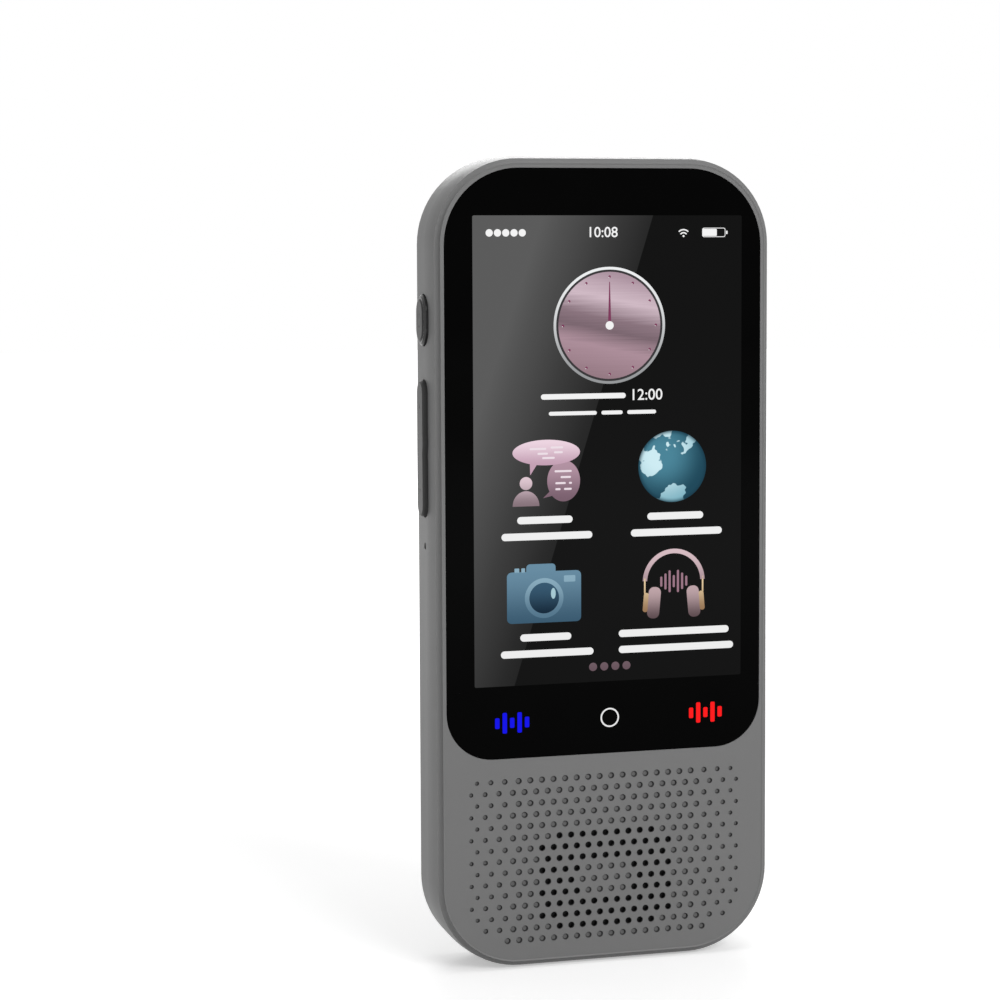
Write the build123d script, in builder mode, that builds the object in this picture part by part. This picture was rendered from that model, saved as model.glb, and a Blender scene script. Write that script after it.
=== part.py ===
from build123d import *
from math import hypot, radians, sin
import os

# Handheld voice translator: a slab housing with a touch screen, a perforated speaker
# grille, five side keys, a camera and a clip-on back cover.
#
# Millimetres. The body stands on its lower end with the screen facing -Y: +X is to the
# right of somebody reading the screen, +Z is up, and the origin is the middle of the foot.

# --- Body -----------------------------------------------------------------------------
body_width = 65.0
body_height = 150.0
body_depth = 13.8
corner_radius = 16.0
wall = 2.0
rim_inset = 0.45            # the side walls draw in by this much towards the front
rim_radius = 0.9            # rounding of the front edge
rim_proud = 0.12            # height of the rounded rim over the front face
crown_depth = 6.5           # depth at which the side walls reach their full width
front_skin = 2.2
ledge_width = 3.9           # shelf round the inside that carries the mid frame
cover_rise = 1.4            # how far the back cover stands out of the housing

# --- Clearances -----------------------------------------------------------------------
slip = 0.05                 # between pieces that are glued or screwed together
module_gap = 0.3            # round the display panel in its window
key_gap = 0.16              # round a push key, in its opening
rocker_gap = 0.25           # round the rocker, which swings in its opening
flange_gap = 0.1            # between a key's flange and the wall
switch_slack = 0.1          # what a switch has left when its key is down
rocker_slack = 0.15
cover_gap = 0.25            # under and round the back cover
cover_lip_gap = 0.3         # between the cover's lip and the wall
frame_gap = 0.5             # round what stands in a window of the inner frame
boss_gap = 0.2
board_gap = 0.2

# --- Screen ---------------------------------------------------------------------------
glass_top_margin = 2.2
glass_side_margin = 2.1
chin_height = 39.5          # of the grille area under the glass
glass_thickness = 1.1
glass_top_radius = 14.0
glass_bottom_radius = 8.8
glass_bevel = 0.12
module_side_margin = 3.1
module_top_margin = 8.0     # from the top of the glass to the top of the panel
module_foot_margin = 7.9
module_corner = 1.5
module_thickness = 1.98
module_shift = 0.8          # the panel sits this far to the right in the glass

# --- Speaker grille -------------------------------------------------------------------
hole_diameter = 1.24
hole_pitch = 2.24
row_count = 15
grille_drop = 4.3           # from the bottom of the glass to the first row
grille_foot_margin = 5.31   # from the foot of the body to the last row
hole_sides = 10             # of each hole and dimple
inner_holes = 16
fringe_gap = 2.65
fringe_diameters = (1.10, 1.00, 0.85)
dimple_depth = 0.4
dimple_floor = 0.62         # of a dimple's mouth
sound_skin = 1.2
aperture_width = 25.6       # the holes inside this outline are open, the others blind
aperture_rows = 9
aperture_margin = 0.86      # past the middles of the outermost open rows
aperture_radius = 4.6
aperture_middle = 9         # row at the middle of the outline, counted from the top
island_width = 9.8          # the holes over the middle of the cone are blind too
island_height = 6.4

# --- Speaker --------------------------------------------------------------------------
speaker_side_reach = 2.7     # past the open holes
speaker_end_reach = 1.6
speaker_thickness = 4.0
speaker_radius = 3.0
speaker_hollow = 1.5
gasket_width = 1.5
gasket_thickness = 0.5
mesh_thickness = 0.15
cone_thickness = 0.4
dome_diameter = 9.0
dome_height = 0.5

# --- Keys -----------------------------------------------------------------------------
key_from_front = 7.4        # depth of the keys' centre line
key_proud = 0.9
key_flange = 0.7            # how far a key's flange reaches past its outline
key_flange_thickness = 1.0
key_travel = 0.4
key_rim_width = 0.75
key_rim_drop = 0.2          # the coloured rim lies this much below the cap
key_rim_bevel = 0.35
key_rounding = 0.3
plunger_length = 0.5
plunger_diameter = 2.4
round_key_length = 9.3
round_key_width = 6.4
talk_key_length = 12.0
talk_key_width = 5.6
rocker_length = 25.0
rocker_width = 4.6
rocker_flange = 0.5
rocker_rounding = 0.4
rocker_swing = 1.5          # degrees either way
rocker_reach = 8.0          # from the rocker's pivot to each of its plungers
rocker_sink = 0.4           # of the rocker's flange, under that of a push key
rocker_wave = 0.45          # the front edge swings out and in where the halves meet
rocker_wave_length = 6.0
rocker_wave_radius = 4.0
ridge_radius = 0.5
ridge_slope = 0.4
ridge_width = 2.4
power_key_drop = 29.8       # from the top of the body to each key's middle
rocker_drop = 53.4
photo_key_drop = 29.1
blue_key_drop = 46.4
red_key_drop = 60.8

# --- Small openings -------------------------------------------------------------------
mic_hole_diameter = 1.3
left_mic_drop = 71.4
right_mic_drop = 19.7
usb_width = 8.94
usb_thickness = 3.26
usb_length = 7.3
usb_shell = 0.3
usb_floor = 0.8
usb_tongue_width = 6.7
usb_tongue_thickness = 0.7
usb_tongue_length = 4.5
usb_wall_gap = 0.22
usb_setback = 0.9
cord_slot_length = 3.2
cord_slot_width = 1.1
cord_slot_angle = 39.0      # degrees up the lower left corner from its side
cord_bar_diameter = 1.0
cord_bar_depth = 1.3        # of the bar's axis, under the surface of the corner
nail_notch_x = 19.5
nail_notch_width = 8.4
nail_notch_length = 5.2
nail_notch_depth = 0.9

# --- Back cover and camera ------------------------------------------------------------
cover_inset = 0.5
cover_skin = 1.4
cover_edge_chamfer = 0.2
cover_lip_thickness = 1.0
cover_lip_depth = 1.0
bead_radius = 0.2
bead_length = 8.0
bead_heights = (0.3, 0.52, 0.74)    # of the beads along each side, as shares of the body
bead_lift = 0.35
rebate_land = 0.2
rebate_depth = 0.5
camera_x = -2.0
camera_drop = 20.9          # from the top of the body to the camera's axis
ring_diameter = 15.1
ring_dish = 0.75
ring_border = 0.35
ring_seat_width = 1.0
ring_seat_thickness = 0.4
bezel_diameter = 6.2
bezel_bore = 4.2
bezel_sink = 0.4            # of the bezel's top, under the back of the cover
bezel_edge = 0.2
bezel_lip = 0.3             # under the lens
lens_thickness = 0.6
lens_rounding = 0.3
camera_block = 8.6
camera_block_height = 3.4
camera_block_corner = 0.6
camera_barrel_diameter = 6.4
camera_barrel_length = 0.9

# --- Inside ---------------------------------------------------------------------------
mid_frame_thickness = 0.8
mid_frame_reach = 10.0      # below the glass
mid_frame_inset = 3.8
inner_frame_thickness = 0.9
inner_frame_inset = 3.7
inner_frame_top = 4.3       # height of its back face over the middle of the body
board_thickness = 0.8
board_side_margin = 7.0
board_top_margin = 6.0
board_height = 56.0
board_corner = 2.0
board_level = 0.2           # height of its front face over the middle of the body
battery_side_margin = 8.5
battery_foot_gap = 3.5      # over the edge of the mid frame
battery_board_gap = 3.0
battery_thickness = 6.2
battery_radius = 2.0
battery_rounding = 0.6
usb_board_side_margin = 10.5
usb_board_height = 12.0
usb_board_bottom = 3.2
boss_diameter = 4.2
frame_boss_diameter = 3.2
screw_diameter = 1.6
screw_head_diameter = 3.0
screw_head_height = 0.6
screw_slip = 0.05
short_screw_reach = 1.6
long_screw_reach = 3.0      # length of thread in the boss
board_screw_margin = 3.0
usb_screw_margin = 2.4
waist_screw_margin = 6.9    # from the side of the body
waist_screw_drop = 2.6      # under the battery
low_frame_screw_margin = 13.5
low_frame_screw_rise = 1.7
top_frame_screw_margin = 15.5
top_frame_screw_drop = 6.3
key_board_thickness = 0.4
key_board_width = 5.4
key_board_reach = 4.5       # past the last part on it
key_rib_thickness = 0.8
key_rib_depth = 4.4
switch_height = 1.0
switch_width = 3.4
switch_button_diameter = 1.6
switch_button_height = 0.4
mic_width = 3.0
mic_length = 3.8
boot_diameter = 3.6
can_height = 1.6
can_margin = 2.5
can_gap = 4.0
can_rise = 8.0              # over the lower edge of the board
can_length = 26.0
can_corner = 0.8
connector_length = 9.0
connector_width = 2.4
connector_height = 1.0
connector_margin = 3.5
card_socket_margin = 6.5     # from the right edge of the board
card_socket_width = 15.0
card_socket_rise = 9.0
card_socket_length = 18.0
card_socket_height = 1.4
card_socket_wall = 0.3
card_socket_side = 1.0
card_socket_stop = 3.0
contact_width = 10.0
contact_height = 1.6
contact_reach = 2.0
antenna_width = 32.0
antenna_length = 5.0
antenna_drop = 5.4
antenna_thickness = 0.15

# --- Levels and places that follow ----------------------------------------------------
y_rim = -body_depth / 2
y_front = y_rim + rim_proud
y_back = body_depth / 2
y_wall_end = y_back - cover_rise
y_inside = y_front + front_skin
y_glass_back = y_front + glass_thickness
y_module_back = y_glass_back + module_thickness
y_mid_frame = y_module_back + slip
y_mid_frame_back = y_mid_frame + mid_frame_thickness
y_inner_frame = inner_frame_top - inner_frame_thickness
y_board = board_level
y_board_back = y_board + board_thickness
y_sound = y_front + sound_skin
y_speaker = y_sound + mesh_thickness + gasket_thickness
y_speaker_back = y_speaker + speaker_thickness
y_usb_board = y_speaker_back + board_gap
y_usb_board_back = y_usb_board + board_thickness
y_key = y_rim + key_from_front
y_cover = y_wall_end - cover_gap
y_cover_inside = y_back - cover_skin
y_cover_lip = y_cover_inside - cover_lip_depth
y_ring_seat = y_cover_inside + ring_seat_thickness
usb_y = y_usb_board_back + usb_thickness / 2

half_width = body_width / 2
x_wall = half_width - wall
x_flange = x_wall - flange_gap
x_flange_back = x_flange - key_flange_thickness
x_plunger = x_flange_back - plunger_length
x_switch = x_plunger - key_travel - switch_slack
x_key_board = x_switch - switch_height
x_key_rib = x_key_board - key_board_thickness
x_key_top = half_width + key_proud
x_rocker_flange = x_flange - rocker_sink
x_rocker_back = x_rocker_flange - key_flange_thickness
x_rocker_plunger = x_switch + rocker_reach * sin(radians(rocker_swing)) + rocker_slack
x_rocker_pivot = x_key_board + ridge_radius + flange_gap

glass_width = body_width - 2 * glass_side_margin
glass_height = body_height - glass_top_margin - chin_height
glass_top = body_height - glass_top_margin
glass_middle = glass_top - glass_height / 2
module_width = glass_width - 2 * module_side_margin
module_height = glass_height - module_top_margin - module_foot_margin
module_middle = glass_top - module_top_margin - module_height / 2
grille_top = chin_height - grille_drop
row_pitch = (grille_top - grille_foot_margin) / (row_count - 1)
sound_z = grille_top - aperture_middle * row_pitch
aperture_height = (aperture_rows - 1) * row_pitch + 2 * aperture_margin
speaker_width = aperture_width + 2 * speaker_side_reach
speaker_height = aperture_height + 2 * speaker_end_reach
camera_z = body_height - camera_drop
power_key_z = body_height - power_key_drop
rocker_z = body_height - rocker_drop
photo_key_z = body_height - photo_key_drop
blue_key_z = body_height - blue_key_drop
red_key_z = body_height - red_key_drop
left_mic_z = body_height - left_mic_drop
right_mic_z = body_height - right_mic_drop

board_width = body_width - 2 * board_side_margin
board_top = body_height - board_top_margin
card_socket_x = board_width / 2 - card_socket_margin - card_socket_width
board_bottom = board_top - board_height
board_middle = board_top - board_height / 2
mid_frame_bottom = chin_height - mid_frame_reach
battery_width = body_width - 2 * battery_side_margin
battery_bottom = mid_frame_bottom + battery_foot_gap
battery_height = board_bottom - battery_board_gap - battery_bottom
usb_board_width = body_width - 2 * usb_board_side_margin
can_low = board_bottom + can_rise
can_high = can_low + can_length
socket_low = board_bottom + card_socket_rise
antenna_top = body_height - antenna_drop

os.makedirs("parts", exist_ok=True)


def save(piece, name):
    """Label a finished sub-part and write it to its own STEP file."""
    piece.part.label = name
    export_step(piece.part, f"parts/{name}.step")


def level(y):
    """Plane across the body at depth y, with X to the right and Z up."""
    return Plane.XZ.offset(-y)


def flank(x):
    """Plane along a side of the body at x, with Y to the right and Z up."""
    return Plane.YZ.offset(x)


def body_outline(inset):
    """Rounded rectangle that runs inside the body's widest outline."""
    with BuildSketch() as outline:
        with Locations((0, body_height / 2)):
            RectangleRounded(
                body_width - 2 * inset, body_height - 2 * inset, corner_radius - inset
            )
    return outline.sketch


def glass_outline(gap):
    """The screen glass, with its larger corners at the top."""
    with BuildSketch() as outline:
        with Locations((0, glass_middle)):
            Rectangle(glass_width, glass_height)
        fillet(outline.vertices().group_by(Axis.Y)[-1], glass_top_radius)
        fillet(outline.vertices().group_by(Axis.Y)[0], glass_bottom_radius)
        if gap > 0:
            offset(amount=gap, kind=Kind.ARC)
    return outline.sketch


def module_outline(gap):
    """The display panel, or its window with a gap all round."""
    with BuildSketch() as outline:
        with Locations((module_shift, module_middle)):
            RectangleRounded(
                module_width + 2 * gap, module_height + 2 * gap, module_corner + gap
            )
    return outline.sketch


def speaker_outline(inset):
    """Outline of the speaker, which its pocket, mesh and gasket share."""
    with BuildSketch() as outline:
        with Locations((0, sound_z)):
            RectangleRounded(
                speaker_width - 2 * inset, speaker_height - 2 * inset, speaker_radius - inset
            )
    return outline.sketch


def key_outline(length, width, z, grow=0.0):
    """Upright stadium on a side of the body."""
    with BuildSketch() as outline:
        with Locations((y_key, z)):
            SlotOverall(length + 2 * grow, width + 2 * grow, rotation=90)
    return outline.sketch


def rocker_outline(grow=0.0):
    """The rocker, or its opening: an upright stadium with a wave in its front edge."""
    side = rocker_width / 2
    run = rocker_length / 2 - side
    half = rocker_wave_length / 2
    swell = rocker_wave / 2
    with BuildSketch() as outline:
        with BuildLine():
            front = FilletPolyline(
                (y_key - side, rocker_z + run),
                (y_key - side, rocker_z + half),
                (y_key - side - swell, rocker_z + half / 3),
                (y_key - side + swell, rocker_z - half / 3),
                (y_key - side, rocker_z - half),
                (y_key - side, rocker_z - run),
                radius=rocker_wave_radius,
            )
            foot = (y_key + side, rocker_z - run)
            head = (y_key + side, rocker_z + run)
            ThreePointArc(front @ 1, (y_key, rocker_z - rocker_length / 2), foot)
            Line(foot, head)
            ThreePointArc(head, (y_key, rocker_z + rocker_length / 2), front @ 0)
        make_face()
        if grow > 0:
            offset(amount=grow, kind=Kind.ARC)
    return outline.sketch


def round_outline(z, diameter):
    """Circle on a side of the body."""
    with BuildSketch() as outline:
        with Locations((y_key, z)):
            Circle(diameter / 2)
    return outline.sketch


def square_outline(z, width, length):
    """Upright rectangle on a side of the body."""
    with BuildSketch() as outline:
        with Locations((y_key, z)):
            Rectangle(width, length)
    return outline.sketch


def slab(outline, y_from, y_to, mode=Mode.ADD):
    """Extrude an outline from one depth to another."""
    with BuildSketch(level(y_from)) as face:
        add(outline)
    extrude(face.sketch, amount=y_from - y_to, mode=mode)


def block(x_low, x_high, z_low, z_high, y_from, y_to, mode=Mode.ADD):
    """A plain rectangular block between two depths."""
    with BuildSketch(level(y_from)) as face:
        with Locations(((x_low + x_high) / 2, (z_low + z_high) / 2)):
            Rectangle(x_high - x_low, z_high - z_low)
    extrude(face.sketch, amount=y_from - y_to, mode=mode)


def post(places, diameter, y_from, y_to, mode=Mode.ADD):
    """Round posts or holes at a list of places."""
    with BuildSketch(level(y_from)) as face:
        with Locations(*places):
            Circle(diameter / 2)
    extrude(face.sketch, amount=y_from - y_to, mode=mode)


def side_slab(outline, side, x_from, x_to, mode=Mode.ADD):
    """Extrude an outline on a side of the body from one distance off the middle to another."""
    with BuildSketch(flank(side * x_from)) as face:
        add(outline)
    extrude(face.sketch, amount=side * (x_to - x_from), mode=mode)


def both_sides(x, z):
    """The places left and right of the middle."""
    return [(-x, z), (x, z)]


def grille_rows():
    """Every hole of the grille as (x, z, diameter, open), row by row."""
    for row in range(row_count):
        z = grille_top - row * row_pitch
        wide = row % 2
        inner = inner_holes + wide
        if row == row_count - 1:
            inner = inner_holes + 2
        edge = (inner - 1) / 2 * hole_pitch
        fringe = [(edge + (n + 1) * fringe_gap, size) for n, size in enumerate(fringe_diameters)]
        if row == row_count - 1:
            fringe = []
        elif row == row_count - 2:
            fringe = fringe[:-1]
        for n in range(inner):
            x = n * hole_pitch - edge
            yield x, z, hole_diameter, is_open(x, z)
        for x, size in fringe:
            yield -x, z, size, False
            yield x, z, size, False


def is_open(x, z):
    """Whether a hole leads through to the speaker's cone."""
    right, up = abs(x), abs(z - sound_z)
    corner_x = right - (aperture_width / 2 - aperture_radius)
    corner_z = up - (aperture_height / 2 - aperture_radius)
    if corner_x > 0 and corner_z > 0:
        within = hypot(corner_x, corner_z) < aperture_radius
    else:
        within = right < aperture_width / 2 and up < aperture_height / 2
    island = hypot(2 * right / island_width, 2 * up / island_height) < 1
    return within and not island


def hole_shape():
    """The hollow of a hole that leads through to the speaker."""
    with BuildPart() as hollow:
        with BuildSketch(level(y_front)):
            RegularPolygon(hole_diameter / 2, hole_sides)
        extrude(amount=y_front - y_sound)
    return hollow.part


def dimple_shape(mouth):
    """The hollow of a blind dimple, which narrows to its floor."""
    with BuildPart() as hollow:
        for y, width in ((y_front, mouth), (y_front + dimple_depth, dimple_floor * mouth)):
            with BuildSketch(level(y)):
                RegularPolygon(width / 2, hole_sides)
        loft()
    return hollow.part


keys = [
    ("power_key", -1, power_key_z, round_key_length, round_key_width),
    ("photo_key", 1, photo_key_z, round_key_length, round_key_width),
    ("blue_talk_key", 1, blue_key_z, talk_key_length, talk_key_width),
    ("red_talk_key", 1, red_key_z, talk_key_length, talk_key_width),
]
mic_holes = [(-1, left_mic_z), (1, right_mic_z)]
side_names = {-1: "left", 1: "right"}
left_switch_z = [power_key_z, rocker_z - rocker_reach, rocker_z + rocker_reach]
right_switch_z = [photo_key_z, blue_key_z, red_key_z]
key_boards = [
    (-1, left_mic_z - key_board_reach, power_key_z + key_board_reach),
    (1, red_key_z - key_board_reach, right_mic_z + key_board_reach),
]
board_screw_x = board_width / 2 - board_screw_margin
board_screws = both_sides(board_screw_x, board_bottom + connector_margin)
board_screws += both_sides(board_screw_x, board_top - connector_margin)
foot_screws = both_sides(
    usb_board_width / 2 - usb_screw_margin, usb_board_bottom + usb_board_height / 2
)
waist_screws = both_sides(half_width - waist_screw_margin, battery_bottom - waist_screw_drop)
low_frame_screws = both_sides(
    half_width - low_frame_screw_margin, mid_frame_bottom + low_frame_screw_rise
)
top_frame_screws = both_sides(
    half_width - top_frame_screw_margin, body_height - top_frame_screw_drop
)
frame_screws = low_frame_screws + top_frame_screws
bore = screw_diameter + 2 * screw_slip

# The corner of the body that holds the cord pin, and the way out of it.
cord_corner = (-half_width + corner_radius, corner_radius)
cord_out = Vector(-1, 0, 0).rotate(Axis.Y, -cord_slot_angle)

# --- Front housing --------------------------------------------------------------------
with BuildPart() as front_housing:
    # Half of the side wall: its section follows the outline from foot to crown.
    with BuildLine(Plane.XZ) as half_outline:
        FilletPolyline(
            (0, 0),
            (half_width, 0),
            (half_width, body_height),
            (0, body_height),
            radius=corner_radius,
        )
    with BuildSketch(Plane.YZ) as wall_section:
        with BuildLine():
            crest = (y_rim, rim_inset + rim_radius)
            shoulder = (y_rim + rim_radius, rim_inset)
            crown = (y_rim + crown_depth, 0)
            lip = (y_wall_end, 0)
            halfway = ((shoulder[0] + crown[0]) / 2, rim_inset / 4)
            # Front face, bead, rounded edge, flare and flat side, then back along the inside.
            front = Line((y_front, ledge_width), (y_front, crest[1] + 2 * rim_proud))
            Line(front @ 1, crest)
            RadiusArc(crest, shoulder, rim_radius)
            ThreePointArc(shoulder, halfway, crown)
            Line(crown, lip)
            Polyline(
                lip,
                (y_wall_end, rebate_land),
                (y_wall_end - rebate_depth, rebate_land),
                (y_wall_end - rebate_depth, wall),
                (y_mid_frame, wall),
                (y_mid_frame, ledge_width),
                front @ 0,
            )
        make_face()
    sweep(path=half_outline.wire())
    mirror(about=Plane.YZ)

    # Front face, with the seat of the glass and the window of the display behind it.
    slab(body_outline(crest[1] + rim_proud), y_front, y_inside)
    slab(glass_outline(slip), y_front, y_glass_back, mode=Mode.SUBTRACT)
    slab(module_outline(module_gap), y_front, y_mid_frame, mode=Mode.SUBTRACT)

    # Bosses that rise from the inside of the front face.
    post(foot_screws, boss_diameter, y_inside, y_usb_board)
    post(waist_screws, boss_diameter, y_inside, y_inner_frame)
    post(frame_screws, frame_boss_diameter, y_inside, y_mid_frame)
    post(foot_screws, bore, y_usb_board - long_screw_reach, y_usb_board, Mode.SUBTRACT)
    post(waist_screws, bore, y_inner_frame - long_screw_reach, y_inner_frame, Mode.SUBTRACT)
    post(frame_screws, bore, y_mid_frame - short_screw_reach, y_mid_frame, Mode.SUBTRACT)

    # Pocket that thins the front face over the speaker.
    slab(speaker_outline(-slip), y_sound, y_inside, mode=Mode.SUBTRACT)

    # Openings for the keys and the microphones in the side walls.
    openings = [(side, key_outline(length, width, z, key_gap)) for _, side, z, length, width in keys]
    openings += [(side, round_outline(z, mic_hole_diameter)) for side, z in mic_holes]
    openings += [(-1, rocker_outline(rocker_gap))]
    for side, opening in openings:
        side_slab(opening, side, x_key_board, x_key_top, mode=Mode.SUBTRACT)

    # Charging inlet in the foot.
    with BuildSketch(Plane.XY):
        with Locations((0, usb_y)):
            SlotOverall(usb_width + 2 * usb_wall_gap, usb_thickness + 2 * usb_wall_gap)
    extrude(amount=2 * ledge_width, mode=Mode.SUBTRACT)

    # Slot for a wrist cord in the lower left corner, and the bar that the cord goes round.
    slot_plane = Plane(
        origin=Vector(cord_corner[0], y_key, cord_corner[1]),
        x_dir=(0, 1, 0),
        z_dir=cord_out,
    )
    with BuildSketch(slot_plane.offset(corner_radius - 1.5 * ledge_width)):
        SlotOverall(cord_slot_length, cord_slot_width, rotation=90)
    extrude(amount=2 * ledge_width, mode=Mode.SUBTRACT)
    with Locations(slot_plane.offset(corner_radius - cord_bar_depth)):
        Cylinder(cord_bar_diameter / 2, 2 * cord_slot_width, rotation=(0, 90, 0))

    # Scoop for a fingernail at the seam of the back cover.
    with BuildSketch(Plane.XY.offset(body_height)):
        with Locations((nail_notch_x, y_wall_end)):
            Ellipse(nail_notch_width / 2, nail_notch_length / 2)
    extrude(amount=-nail_notch_depth, mode=Mode.SUBTRACT)

    # Grille: the open holes go through to the speaker, the others are blind dimples.
    hollows = {mouth: dimple_shape(mouth) for mouth in (hole_diameter, *fringe_diameters)}
    through = hole_shape()
    cutters = [
        (through if is_through else hollows[size]).moved(Location((x, 0, z)))
        for x, z, size, is_through in grille_rows()
    ]
    add(cutters, mode=Mode.SUBTRACT)

save(front_housing, "front_housing")

# --- Screen ---------------------------------------------------------------------------
with BuildPart() as display_glass:
    slab(glass_outline(0), y_front, y_glass_back)
    chamfer(display_glass.faces().sort_by(Axis.Y)[0].edges(), glass_bevel)

save(display_glass, "display_glass")

with BuildPart() as display_module:
    slab(module_outline(0), y_glass_back, y_module_back)

save(display_module, "display_module")

# --- Metal mid frame behind the screen ------------------------------------------------
with BuildPart() as mid_frame:
    slab(body_outline(mid_frame_inset), y_mid_frame, y_mid_frame_back)
    block(
        -half_width, half_width, 0, mid_frame_bottom, y_mid_frame, y_mid_frame_back,
        mode=Mode.SUBTRACT,
    )
    post(board_screws, boss_diameter, y_mid_frame_back, y_board)
    post(board_screws, bore, y_board - long_screw_reach, y_board, Mode.SUBTRACT)
    post(frame_screws, bore, y_mid_frame, y_mid_frame_back, Mode.SUBTRACT)
    passage = boss_diameter + 2 * boss_gap
    post(waist_screws, passage, y_mid_frame, y_mid_frame_back, Mode.SUBTRACT)

save(mid_frame, "mid_frame")

# --- Inner frame under the back cover -------------------------------------------------
rib_inner = x_key_rib - key_rib_thickness

with BuildPart() as inner_frame:
    slab(body_outline(inner_frame_inset), y_inner_frame, inner_frame_top)
    post(board_screws, boss_diameter, y_board_back, y_inner_frame)
    post(foot_screws, boss_diameter, y_usb_board_back, y_inner_frame)
    for side, z_low, z_high in key_boards:
        ends = sorted((side * rib_inner, side * x_key_rib))
        block(*ends, z_low, z_high, y_inner_frame - key_rib_depth, y_inner_frame)
    battery_side = battery_width / 2 + frame_gap
    block(
        -battery_side,
        battery_side,
        battery_bottom - frame_gap,
        battery_bottom + battery_height + frame_gap,
        y_inner_frame,
        inner_frame_top,
        mode=Mode.SUBTRACT,
    )
    block(
        card_socket_x - frame_gap,
        card_socket_x + card_socket_width + frame_gap,
        socket_low - frame_gap,
        socket_low + card_socket_length + frame_gap,
        y_inner_frame,
        inner_frame_top,
        mode=Mode.SUBTRACT,
    )
    with BuildSketch(level(y_inner_frame)):
        with Locations((camera_x, camera_z)):
            camera_side = camera_block + 2 * frame_gap
            RectangleRounded(camera_side, camera_side, camera_block_corner + frame_gap)
    extrude(amount=-inner_frame_thickness, mode=Mode.SUBTRACT)
    for places in (board_screws, foot_screws, waist_screws):
        post(places, bore, y_usb_board_back, inner_frame_top, Mode.SUBTRACT)

save(inner_frame, "inner_frame")

with BuildPart() as inner_frame_screws:
    for places, seat in (
        (board_screws, y_board),
        (foot_screws, y_usb_board),
        (waist_screws, y_inner_frame),
    ):
        tip = seat - long_screw_reach + slip
        post(places, screw_diameter, tip, inner_frame_top)
        post(places, screw_head_diameter, inner_frame_top, inner_frame_top + screw_head_height)

save(inner_frame_screws, "inner_frame_screws")

with BuildPart() as mid_frame_screws:
    tip = y_mid_frame - short_screw_reach + slip
    post(frame_screws, screw_diameter, tip, y_mid_frame_back)
    head_top = y_mid_frame_back + screw_head_height
    post(frame_screws, screw_head_diameter, y_mid_frame_back, head_top)

save(mid_frame_screws, "mid_frame_screws")

# --- Electronics ----------------------------------------------------------------------
with BuildPart() as main_board:
    with BuildSketch(level(y_board)):
        with Locations((0, board_middle)):
            RectangleRounded(board_width, board_height, board_corner)
    extrude(amount=-board_thickness)
    post(board_screws, bore, y_board, y_board_back, Mode.SUBTRACT)

save(main_board, "main_board")

with BuildPart() as shield_cans:
    can_side = board_width / 2 - can_margin
    block(-can_side, -can_gap / 2, can_low, can_high, y_board - can_height, y_board)
    block(can_gap / 2, can_side, can_low, can_high, y_board - can_height, y_board)
    block(
        -can_side, -can_gap / 2, can_low, can_high - can_gap,
        y_board_back, y_board_back + can_height,
    )
    fillet(shield_cans.edges().filter_by(Axis.Y), can_corner)

save(shield_cans, "shield_cans")

with BuildPart() as board_connectors:
    above_cans = can_high + can_gap
    for x, z, y_low in (
        (0, board_top - connector_margin, y_board - connector_height),
        (-board_width / 3, above_cans, y_board - connector_height),
        (board_width / 3, above_cans, y_board_back),
        (0, board_bottom + contact_reach + connector_width, y_board_back),
    ):
        block(
            x - connector_length / 2, x + connector_length / 2,
            z - connector_width / 2, z + connector_width / 2,
            y_low, y_low + connector_height,
        )

save(board_connectors, "board_connectors")

with BuildPart() as card_socket:
    socket_end = card_socket_x + card_socket_width
    socket_high = socket_low + card_socket_length
    socket_back = y_board_back + card_socket_height
    block(card_socket_x, socket_end, socket_low, socket_high, y_board_back, socket_back)
    block(
        card_socket_x + card_socket_side, socket_end - card_socket_side,
        socket_low, socket_high - card_socket_stop,
        y_board_back + card_socket_wall, socket_back - card_socket_wall,
        mode=Mode.SUBTRACT,
    )

save(card_socket, "card_socket")

with BuildPart() as battery:
    with BuildSketch(level(y_mid_frame_back + slip)):
        with Locations((0, battery_bottom + battery_height / 2)):
            RectangleRounded(battery_width, battery_height, battery_radius)
    extrude(amount=-battery_thickness)
    fillet(battery.faces().sort_by(Axis.Y)[-1].edges(), battery_rounding)

save(battery, "battery")

with BuildPart() as battery_contacts:
    block(
        -contact_width / 2, contact_width / 2,
        battery_bottom + battery_height + slip, board_bottom + contact_reach,
        y_board - contact_height, y_board,
    )

save(battery_contacts, "battery_contacts")

with BuildPart() as antenna:
    block(
        -antenna_width / 2, antenna_width / 2, antenna_top - antenna_length, antenna_top,
        inner_frame_top, inner_frame_top + antenna_thickness,
    )

save(antenna, "antenna")

with BuildPart() as camera_module:
    with BuildSketch(level(y_board_back)):
        with Locations((camera_x, camera_z)):
            RectangleRounded(camera_block, camera_block, camera_block_corner)
    extrude(amount=-camera_block_height)
    barrel = y_board_back + camera_block_height
    post([(camera_x, camera_z)], camera_barrel_diameter, barrel, barrel + camera_barrel_length)

save(camera_module, "camera_module")

# --- Speaker --------------------------------------------------------------------------
with BuildPart() as speaker_mesh:
    slab(speaker_outline(slip), y_sound, y_sound + mesh_thickness)

save(speaker_mesh, "speaker_mesh")

with BuildPart() as speaker_gasket:
    slab(speaker_outline(slip), y_sound + mesh_thickness, y_speaker)
    slab(speaker_outline(gasket_width), y_sound + mesh_thickness, y_speaker, mode=Mode.SUBTRACT)

save(speaker_gasket, "speaker_gasket")

with BuildPart() as speaker_module:
    hollow_back = y_speaker + speaker_hollow
    slab(speaker_outline(slip), y_speaker, y_speaker_back)
    slab(speaker_outline(gasket_width), y_speaker, hollow_back, mode=Mode.SUBTRACT)

save(speaker_module, "speaker_module")

with BuildPart() as speaker_cone:
    y_cone = hollow_back - cone_thickness
    slab(speaker_outline(gasket_width + slip), y_cone, hollow_back)
    post([(0, sound_z)], dome_diameter, y_cone - dome_height, y_cone)

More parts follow.
